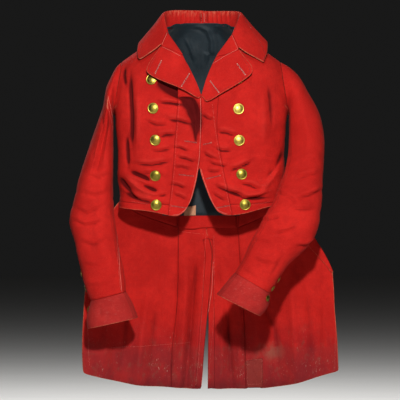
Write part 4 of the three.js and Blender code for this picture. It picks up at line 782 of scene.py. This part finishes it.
def plain_cloth(name, base, other, rough, scale, strength):
    """Smooth woven cloth of two near colours, paler along its threads, with painted shade in its folds."""
    m = Nodes(name)
    col = m.mix(m.ramp(m.grain(22, 4, 0.6), 0.35, 0.65), base, other)
    threads = m.ramp(m.grain(700, 2, 0.6, (1, 1, 0.25)), 0.3, 0.7)
    col = m.mix(m.times(threads, 0.35), col, tuple(c * 1.7 for c in other))
    # painted shade where the folds sink
    col = m.mix(m.ramp(m.attribute("deep"), -0.001, -0.006, 0, 0.5), col, tuple(c * 0.4 for c in base))
    m.set(Base_Color=col, Roughness=rough, Sheen_Weight=0.1, Specular_IOR_Level=0.2)
    normal = m.bump(m.grain(60, 3, 0.5), 0.35, 0.0014)
    m.set(Normal=m.bump(m.grain(scale, 2, 0.6, (1, 1, 0.4)), strength, 0.0004, normal))
    return m.material


red = wool("red_wool")
rim_red = wool("red_wool_edge", pale_rim=True)
inner_red = wool("red_wool_inside", fray_share=0)
patch_red = wool("red_wool_patch", dirt=0.35, tint=(0.52, 2.2, 2.2), fray_share=0.9)
cuff_red = wool("red_wool_cuff", tint=(0.80, 1.5, 1.7))
cuff_rim = wool("red_wool_cuff_edge", pale_rim=True, tint=(0.85, 1.2, 1.3))
lining_blue = plain_cloth("navy_lining", (0.006, 0.012, 0.017), (0.011, 0.020, 0.027), 0.6, 900, 0.25)
canvas_tan = plain_cloth("tan_canvas", (0.36, 0.16, 0.085), (0.48, 0.24, 0.14), 0.8, 1100, 0.8)


def thread_material(name, a, b, shade_colour=None):
    """Sewing thread between two colours; the last argument, if given, is a painted shade colour for the
    thread on the fronts below the lapels.
    """
    m = Nodes(name)
    col = m.mix(m.ramp(m.grain(420, 3, 0.7), 0.35, 0.65), a, b)
    if shade_colour:
        # painted shade over the thread on the fronts below the lapels, broken by noise
        where = m.times(m.ramp(m.axis(2), -0.18, -0.21), m.ramp(m.axis(1), -0.05, -0.08))
        col = m.mix(m.times(where, m.ramp(m.grain(160, 3, 0.7), 0.35, 0.6, 0.5, 1.0)), col, shade_colour)
    m.set(Base_Color=col, Roughness=0.75, Sheen_Weight=0.2)
    m.set(Normal=m.bump(m.grain(2600, 2, 0.6), 0.5, 0.0003))
    return m.material


def brass_material():
    """Worn brass, with painted shade that darkens the lower buttons and those at the wearer's right."""
    m = Nodes("brass")
    tarnish = m.ramp(m.grain(120, 4, 0.6), 0.42, 0.72)
    col = m.mix(tarnish, (0.68, 0.54, 0.11), (0.42, 0.32, 0.06))
    # painted shade: lower buttons and those at the wearer's right are darkened
    button_shade = m.math("MAXIMUM", m.ramp(m.axis(2), -0.20, -0.26), m.ramp(m.axis(0), 0.02, -0.02, 0, 0.7))
    col = m.mix(m.times(button_shade, 0.8), col, (0.20, 0.165, 0.02))
    col = m.mix(m.ramp(m.grain(900, 3, 0.7), 0.64, 0.8), col, (0.20, 0.14, 0.05))
    rough = m.ramp(m.grain(240, 3, 0.6), 0.3, 0.7, 0.30, 0.52)
    m.set(Base_Color=col, Metallic=1.0, Roughness=rough)
    m.set(Normal=m.bump(m.grain(500, 4, 0.6), 0.12, 0.0003))
    return m.material


brass = brass_material()
# the dark red of the buttonhole slits: painted shade in the cut
slit_shade = thread_material("painted_slit_shade", (0.13, 0.006, 0.007), (0.22, 0.012, 0.012))
deep_red = thread_material("deep_red_thread", (0.045, 0.003, 0.003), (0.07, 0.005, 0.005))
light_red = thread_material("light_red_thread", (0.55, 0.10, 0.075), (0.70, 0.22, 0.17))
pale = thread_material("pale_thread", (0.50, 0.30, 0.25), (0.72, 0.52, 0.45), (0.16, 0.035, 0.03))

# ---------- the coat's pieces ----------

FRONT = [red, rim_red]
INSIDE = [inner_red, inner_red]
CUFFS = [cuff_red, cuff_rim]
FAR = 2  # subdivisions of the pieces behind and the small ones
NEAR = 3  # and of those seen closest
for side, hand in ((-1, "right"), (1, "left")):
    cloth("forepart_" + hand, NEAR, FRONT, move_front)
    cloth("waistband_" + hand, NEAR, FRONT, move_front)
    cloth("lapel_" + hand, NEAR, FRONT, move_lapel)
    cloth("side_body_" + hand, FAR, INSIDE, move_tail)
    cloth("back_" + hand, FAR, FRONT, move_tail)
    cloth("skirt_" + hand, FAR, FRONT, move_tail)
    cloth("vent_facing_" + hand, FAR, INSIDE, move_tail, 0)
    for kind in ("top_sleeve_", "under_sleeve_", "top_cuff_", "under_cuff_"):
        cloth(kind + hand, NEAR, CUFFS if "cuff" in kind else FRONT, move_arm(side))
    cloth("collar_" + hand, NEAR, FRONT, move_collar)
    cloth("collar_end_" + hand, FAR, FRONT, move_collar, 0.4)
cloth("hem_patch", FAR, [patch_red, rim_red], move_tail, 0)
cloth("back_lining", NEAR, [lining_blue, lining_blue], move_lining, 0)
cloth("waist_facing", FAR, INSIDE, keep_still, 0.4)
cloth("canvas_tab", FAR, [canvas_tan, canvas_tan], keep_still, 0)

# ---------- what is sewn on: thread, buttonholes, buttons ----------


def tree_over(names):
    """A tree over finished pieces."""
    meshes = [fine[n].data for n in names]
    return tree_of([(coordinates(m).tolist(), [f.vertices for f in m.polygons]) for m in meshes])


def kinds(*words):
    """The finished pieces whose names begin with one of the words."""
    return [n for n in fine if n.split("_")[0] in words]


TREES = {
    "all": tree_over(fine),
    "body": tree_over(kinds("forepart", "waistband", "lapel", "collar")),
    "arms": tree_over([n for n in fine if "sleeve" in n or "cuff" in n]),
    "tails": tree_over(kinds("skirt", "vent", "hem", "waist", "side") + ["back_right", "back_left"]),
}


def hit(gx, gy, where):
    """The place and outward direction of the cloth seen at a grid place from the front."""
    x, z = at(gx, gy)
    place, normal, _, _ = TREES[where].ray_cast(Vector((x, -1, z)), Vector((0, 1, 0)))
    if place is None:
        return None
    return place, (normal if normal.y < 0 else -normal)


def laid(places, where, lifts):
    """A path through grid places, each lifted some millimetres off the cloth, and the cloth's normals."""
    path, normals = [], []
    for (gx, gy), lift in zip(places, lifts):
        h = hit(gx, gy, where)
        if h is None:
            return None
        path.append(h[0] + h[1] * (lift * MM))
        normals.append(h[1])
    return path, normals


def spaced(points, step):
    """Grid places every step metres along a line of them."""
    out = []
    run = 0.0
    for (ax, ay), (bx, by) in zip(points, points[1:]):
        long = math.dist((ax, ay), (bx, by)) * SCALE
        while run < long:
            t = run / long
            out.append((ax + (bx - ax) * t, ay + (by - ay) * t))
            run += step
        run -= long
    return out


TAPER = 0.35  # the share of a thread's thickness at its two ends


def tube(bm, path, normals, radius, sides, flat):
    """A closed thread along a path, flat against the cloth by the share flat."""
    rings = []
    for i, p in enumerate(path):
        way = (path[min(i + 1, len(path) - 1)] - path[max(i - 1, 0)]).normalized()
        across = way.cross(normals[i]).normalized()
        up = across.cross(way).normalized()
        r = radius * TAPER if i in (0, len(path) - 1) else radius
        ring = []
        for k in range(sides):
            a = 2 * math.pi * k / sides
            ring.append(bm.verts.new(p + across * (math.cos(a) * r) + up * (math.sin(a) * r * flat)))
        rings.append(ring)
    for a, b in zip(rings, rings[1:]):
        for k in range(sides):
            bm.faces.new((a[k], a[(k + 1) % sides], b[(k + 1) % sides], b[k]))
    bm.faces.new(rings[0][::-1])
    bm.faces.new(rings[-1])


def piece(name, bm, material):
    """The named object of a bmesh, riding the coat."""
    mesh = bpy.data.meshes.new(name)
    bmesh.ops.recalc_face_normals(bm, faces=bm.faces)
    bm.to_mesh(mesh)
    bm.free()
    mesh.materials.append(material)
    mesh.polygons.foreach_set("use_smooth", [True] * len(mesh.polygons))
    o = bpy.data.objects.new(name, mesh)
    scene.collection.objects.link(o)
    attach(o, "root")
    return o


SKIPPED = 0.06  # the share of stitches that have worn away


def stitches(bm, points, where, pitch=3.2, share=0.62, radius=0.32, proud=0.15, wander=0.15):
    """Running stitches: pitch, radius and proud in mm, share of the pitch covered, wander in grid units."""
    places = spaced(points, pitch * MM)
    for (ax, ay), (bx, by) in zip(places, places[1:]):
        if random.random() < SKIPPED:
            continue
        jx, jy = random.uniform(-wander, wander), random.uniform(-wander, wander)
        row = [(ax + (bx - ax) * t + jx, ay + (by - ay) * t + jy) for t in (0, share * 0.5, share)]
        stitch = laid(row, where, (proud, proud + 0.2, proud))
        if stitch and (stitch[0][2] - stitch[0][0]).length < pitch * 2 * MM:
            tube(bm, *stitch, radius * MM, 5, 0.8)


def cord(bm, points, where, radius, proud=0.1, step=2.2, rough=0.25):
    """A line of thread, rubbed edge or turned seam on the cloth, broken where the cloth jumps."""
    runs = [([], [])]
    for gx, gy in spaced(points, step * MM):
        h = hit(gx, gy, where)
        path, normals = runs[-1]
        if h is None or (path and (h[0] - path[-1]).length > 4 * step * MM):
            path, normals = [], []
            runs.append((path, normals))
        if h:
            wob = Vector((random.uniform(-1, 1), 0, random.uniform(-1, 1))) * (rough * radius * MM)
            path.append(h[0] + h[1] * (proud * MM) + wob)
            normals.append(h[1])
    for path, normals in runs:
        if len(path) > 2:
            tube(bm, path, normals, radius * MM, 6, 0.7)


BAR_PITCH = 0.0011
BAR_LOST = 0.08  # the share of a buttonhole's bars that have worn away
HOLE_HALF = 1.0 / 2.4  # one millimetre in grid units, the scale of a bar's length
BAR_INNER, BAR_OUTER = 0.28, 1.15
END_BAR = (-1.4, -0.7, 0, 0.7, 1.4)


def buttonhole(name, a, b, where):
    """Worked buttonhole: a dark cord of painted shade along the slit, and pale bars of thread round it."""
    bars = bmesh.new()
    slit = bmesh.new()
    long = math.dist(a, b)
    ux, uy = (b[0] - a[0]) / long, (b[1] - a[1]) / long
    count = int(long * SCALE / BAR_PITCH)
    for i in range(count + 1):
        t = i / count * long
        for s in (-1, 1):
            inner = BAR_INNER * HOLE_HALF * s
            outer = (BAR_OUTER + random.uniform(-0.25, 0.35)) * HOLE_HALF * s
            skew = random.uniform(-0.12, 0.12)
            row = [
                (a[0] + ux * (t + skew * abs(k) * 3) - uy * k, a[1] + uy * (t + skew) + ux * k)
                for k in (inner, (inner + outer) / 2, outer)
            ]
            bar = laid(row, where, (0.5, 0.5, 0.15))
            if bar and random.random() > BAR_LOST:
                tube(bars, *bar, 0.42 * MM, 5, 0.8)
    ends = [(a[0] + ux * 0.2, a[1] + uy * 0.2), (b[0] - ux * 0.2, b[1] - uy * 0.2)]
    cord(slit, ends, where, 0.5, 0.1, 1.5)
    for end, s in ((a, -0.25), (b, 0.25)):
        row = [(end[0] + ux * s - uy * k * HOLE_HALF, end[1] + uy * s + ux * k * HOLE_HALF) for k in END_BAR]
        bar = laid(row, where, [0.5] * len(END_BAR))
        if bar:
            tube(bars, *bar, 0.55 * MM, 6, 0.9)
    piece(name + "_thread", bars, pale)
    piece(name + "_slit", slit, slit_shade)


HOLES = {
    "lapel_right_1": ((161.7, 62.1), (155.8, 74.4)),
    "lapel_right_2": ((189.3, 75.1), (181.8, 87.4)),
    "lapel_left_1": ((237.0, 65.4), (244.6, 75.9)),
    "lapel_left_2": ((210.2, 82.5), (218.6, 93.5)),
    "front_right_1": ((185.1, 141.6), (196.3, 143.2)),
    "front_right_2": ((179.5, 174.8), (193.3, 176.3)),
    "front_right_3": ((172.4, 205.9), (185.5, 207.7)),
    "front_left_1": ((203.8, 145.0), (211.1, 143.2)),
    "front_left_2": ((206.5, 178.9), (219.8, 175.8)),
    "front_left_3": ((217.7, 207.7), (229.3, 205.4)),
}
for name, (a, b) in HOLES.items():
    buttonhole("buttonhole_" + name, a, b, "body")

# rows of grid places: machine stitching, prick stitches, and rubbed seams and edges that lie pale
ROWS = {
    "tails": [
        [(110.8, 348.8), (124, 348.4), (137.9, 347.8), (156, 346.8), (174.8, 345.3)],
        [(174.8, 345.3), (190, 344)],
        [(214, 236), (214.5, 273), (214, 317), (211, 354), (207.6, 391)],
        [(206.2, 232), (203.9, 270), (201.7, 314.8), (198.9, 359.4), (195.6, 388)],
        [(335.2, 283), (336.4, 320), (335.8, 372)],
        [(87.6, 290), (87, 330), (88.5, 368)],
        [(247.6, 361.6), (262.6, 360.8), (262.6, 385.6)],
        [(247.6, 361.6), (247.8, 386.4), (262.6, 385.6)],
        [(178, 231.6), (190, 233), (205, 234.5)],
    ],
    "body": [
        [(132, 201.4), (150.4, 204.2), (166, 205.9)],
        [(238, 206.4), (250, 205.3), (270, 201.4)],
        [(179.6, 102), (178.3, 121), (176.4, 142), (175.3, 162), (172.3, 193), (169.8, 212)],
        [(212.2, 105), (215.2, 131), (219.3, 157), (223.4, 177), (227.4, 198), (231, 213)],
        [(206, 21.4), (206, 12)],
        [(201.6, 21.4), (201.6, 12)],
    ],
    "arms": [
        [(117, 232), (118, 262), (121, 290)],
        [(107, 100), (112, 122), (115, 150)],
    ],
}
PRICKED = [
    [(195.4, 95.7), (182.2, 88.3), (166.6, 81.9), (154.4, 76.6), (149.8, 72.6), (150.6, 67.5), (156.2, 57)],
    [(204, 102.2), (210.4, 99.4), (221.4, 92.0), (234.6, 84.6), (245.2, 77.6), (249.2, 73.2), (248.6, 68),
     (240.4, 57.6)],
    [(141.8, 58.4), (150.6, 53.6), (159, 49.4)],
    [(241.2, 52.6), (252, 57.2), (262, 60.8), (265.4, 56), (261, 44), (244, 18)],
    [(139.6, 55), (143, 42), (158, 18)],
]
PALE_SEAMS = [
    ("arms", [(118.6, 232), (118.9, 250), (120.2, 270), (122.4, 292)], 0.5),
    ("arms", [(108.4, 96), (111.5, 110), (115, 130), (116.4, 150)], 0.4),
    ("body", [(167.4, 33.4), (164, 41), (161.6, 47.4), (171, 52), (182.2, 58.2)], 0.36),
    ("body", [(231.7, 35.6), (234.6, 43), (237.6, 50.4), (225, 57), (211.8, 65.3)], 0.36),
    ("body", [(204, 11), (204.3, 21.6)], 0.6),
    ("tails", [(213.4, 262), (212, 290), (207.9, 317), (204.6, 354), (201.4, 388)], 0.5),
]
RAW_EDGES = [
    [(200.4, 99), (200.8, 117), (200.5, 131), (199.4, 157), (197.5, 170), (195.7, 180), (192.8, 192),
     (190.8, 199.6), (188.2, 206), (184.2, 210.6), (178.9, 214.4), (172, 215.2)],
    [(200.9, 169), (203.9, 180), (208, 191), (211, 199), (213.8, 204.8), (217.8, 210), (221.8, 212.4),
     (228, 214.2)],
]
bm = bmesh.new()
for where, rows in ROWS.items():
    for row in rows:
        stitches(bm, row, where)
piece("seam_stitching", bm, light_red)
bm = bmesh.new()
for row in PRICKED:
    stitches(bm, row, "body", 4.2, 0.5, 0.6, 0.1, 0.05)
piece("prick_stitching", bm, deep_red)
bm = bmesh.new()
for where, row, radius in PALE_SEAMS:
    cord(bm, row, where, radius)
piece("rubbed_seams", bm, light_red)
bm = bmesh.new()
for row in RAW_EDGES:
    cord(bm, row, "body", 0.42, 0.05)
piece("raw_front_edges", bm, light_red)

FRONT_BUTTON, CUFF_BUTTON = 0.013, 0.0075  # radii
BUTTON_PROFILE = [  # radius and height in mm of a front button: shank, underside, rim, channel, dome
    (0, 0), (3.6, 0), (3.9, 0.5), (3.6, 1.1), (9, 1.15), (12.2, 1.3), (12.9, 1.7), (13, 2.2), (12.6, 2.8),
    (11.9, 2.95), (11.3, 2.7), (10.9, 2.5), (10.3, 2.75), (8.5, 3.6), (6, 4.35), (3, 4.8), (0, 4.95),
]
FRONT_INNER = np.array([0, 0, -0.2])  # a place inside the coat, behind the front buttons
BUTTON_GAP = 0.0003


def inside_arm(place, name):
    """A place 50 mm in from the sleeve's outside."""
    out, _ = arm_frame(place[None, :], -1 if "right" in name else 1)
    return place - out[0] * 0.05


def button_seat(name, big):
    """The middle of a button's foot on the cloth, and the way that the button faces."""
    co = corners(nodes[name])
    centre = co.mean(0)
    axis = np.linalg.svd(co - centre)[2][2]
    toward = centre - (FRONT_INNER if big else inside_arm(centre, name))
    if axis @ toward < 0:
        axis = -axis
    foot = ((co - centre) @ axis).min()
    axis = Vector(axis)
    base = Vector(centre) + axis * foot
    seat = TREES["all"].ray_cast(base + axis * 0.006, -axis)[0]
    if seat is not None and (seat - base).length < 0.008:
        base = seat + axis * BUTTON_GAP
    return base, axis


def domed_button(name):
    """A shell button on the frame's place: rolled rim, shallow channel and dome."""
    big = name.startswith("front")
    base, axis = button_seat(name, big)
    k = (FRONT_BUTTON if big else CUFF_BUTTON) / FRONT_BUTTON
    bm = bmesh.new()
    rings = []
    steps = 48 if big else 32
    side = axis.orthogonal().normalized()
    up = axis.cross(side)
    for x, y in BUTTON_PROFILE:
        middle = base + axis * (y * k * MM)
        if x == 0:
            rings.append([bm.verts.new(middle)])
            continue
        rings.append([
            bm.verts.new(middle + (side * math.cos(a) + up * math.sin(a)) * (x * k * MM))
            for a in (2 * math.pi * i / steps for i in range(steps))
        ])
    for a, b in zip(rings, rings[1:]):
        for i in range(steps):
            j = (i + 1) % steps
            if len(a) == 1:
                bm.faces.new((a[0], b[i], b[j]))
            elif len(b) == 1:
                bm.faces.new((a[i], a[j], b[0]))
            else:
                bm.faces.new((a[i], a[j], b[j], b[i]))
    o = piece("domed_" + name, bm, brass)
    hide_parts(name)
    return o


buttons = {name: domed_button(name) for name in nodes if "button" in name}

# ---------- stage ----------

FLOOR_Z = -1.36
floor_mesh = bpy.data.meshes.new("floor")
bm = bmesh.new()
bmesh.ops.create_circle(bm, cap_ends=True, segments=96, radius=40)
bm.to_mesh(floor_mesh)
floor = bpy.data.objects.new("floor", floor_mesh)
floor.location.z = FLOOR_Z
scene.collection.objects.link(floor)
pale_floor = Nodes("floor")
stone = pale_floor.mix(pale_floor.grain(2, 3, 0.5), (0.74, 0.73, 0.71), (0.78, 0.77, 0.75))
pale_floor.set(Base_Color=stone, Roughness=0.9)
floor_mesh.materials.append(pale_floor.material)

world = bpy.data.worlds.new("world")
scene.world = world
world.use_nodes = True
background = world.node_tree.nodes["Background"]
background.inputs["Color"].default_value = (0.80, 0.80, 0.79, 1)
background.inputs["Strength"].default_value = 0.012


def area_light(name, place, target, size, power, colour=(1, 1, 1)):
    """A round lamp at a place, turned to its target."""
    light = bpy.data.lights.new(name, "AREA")
    light.shape = "DISK"
    light.size = size
    light.energy = power
    light.color = colour
    o = bpy.data.objects.new(name, light)
    o.location = place
    o.rotation_euler = (Vector(target) - Vector(place)).to_track_quat("-Z", "Y").to_euler()
    scene.collection.objects.link(o)


area_light("key", (0.08, -3.1, 0.66), (0, 0, -0.42), 0.18, 98, (1, 0.97, 0.93))
area_light("top", (0.0, -1.3, 2.2), (0, 0, -0.3), 0.3, 14, (1, 0.97, 0.94))
area_light("back", (-0.9, 2.6, 1.5), (0, 0.1, -0.35), 0.9, 34, (1, 0.98, 0.96))
area_light("floor_light", (0, 7, 3.0), (0, 9, FLOOR_Z), 6, 420)
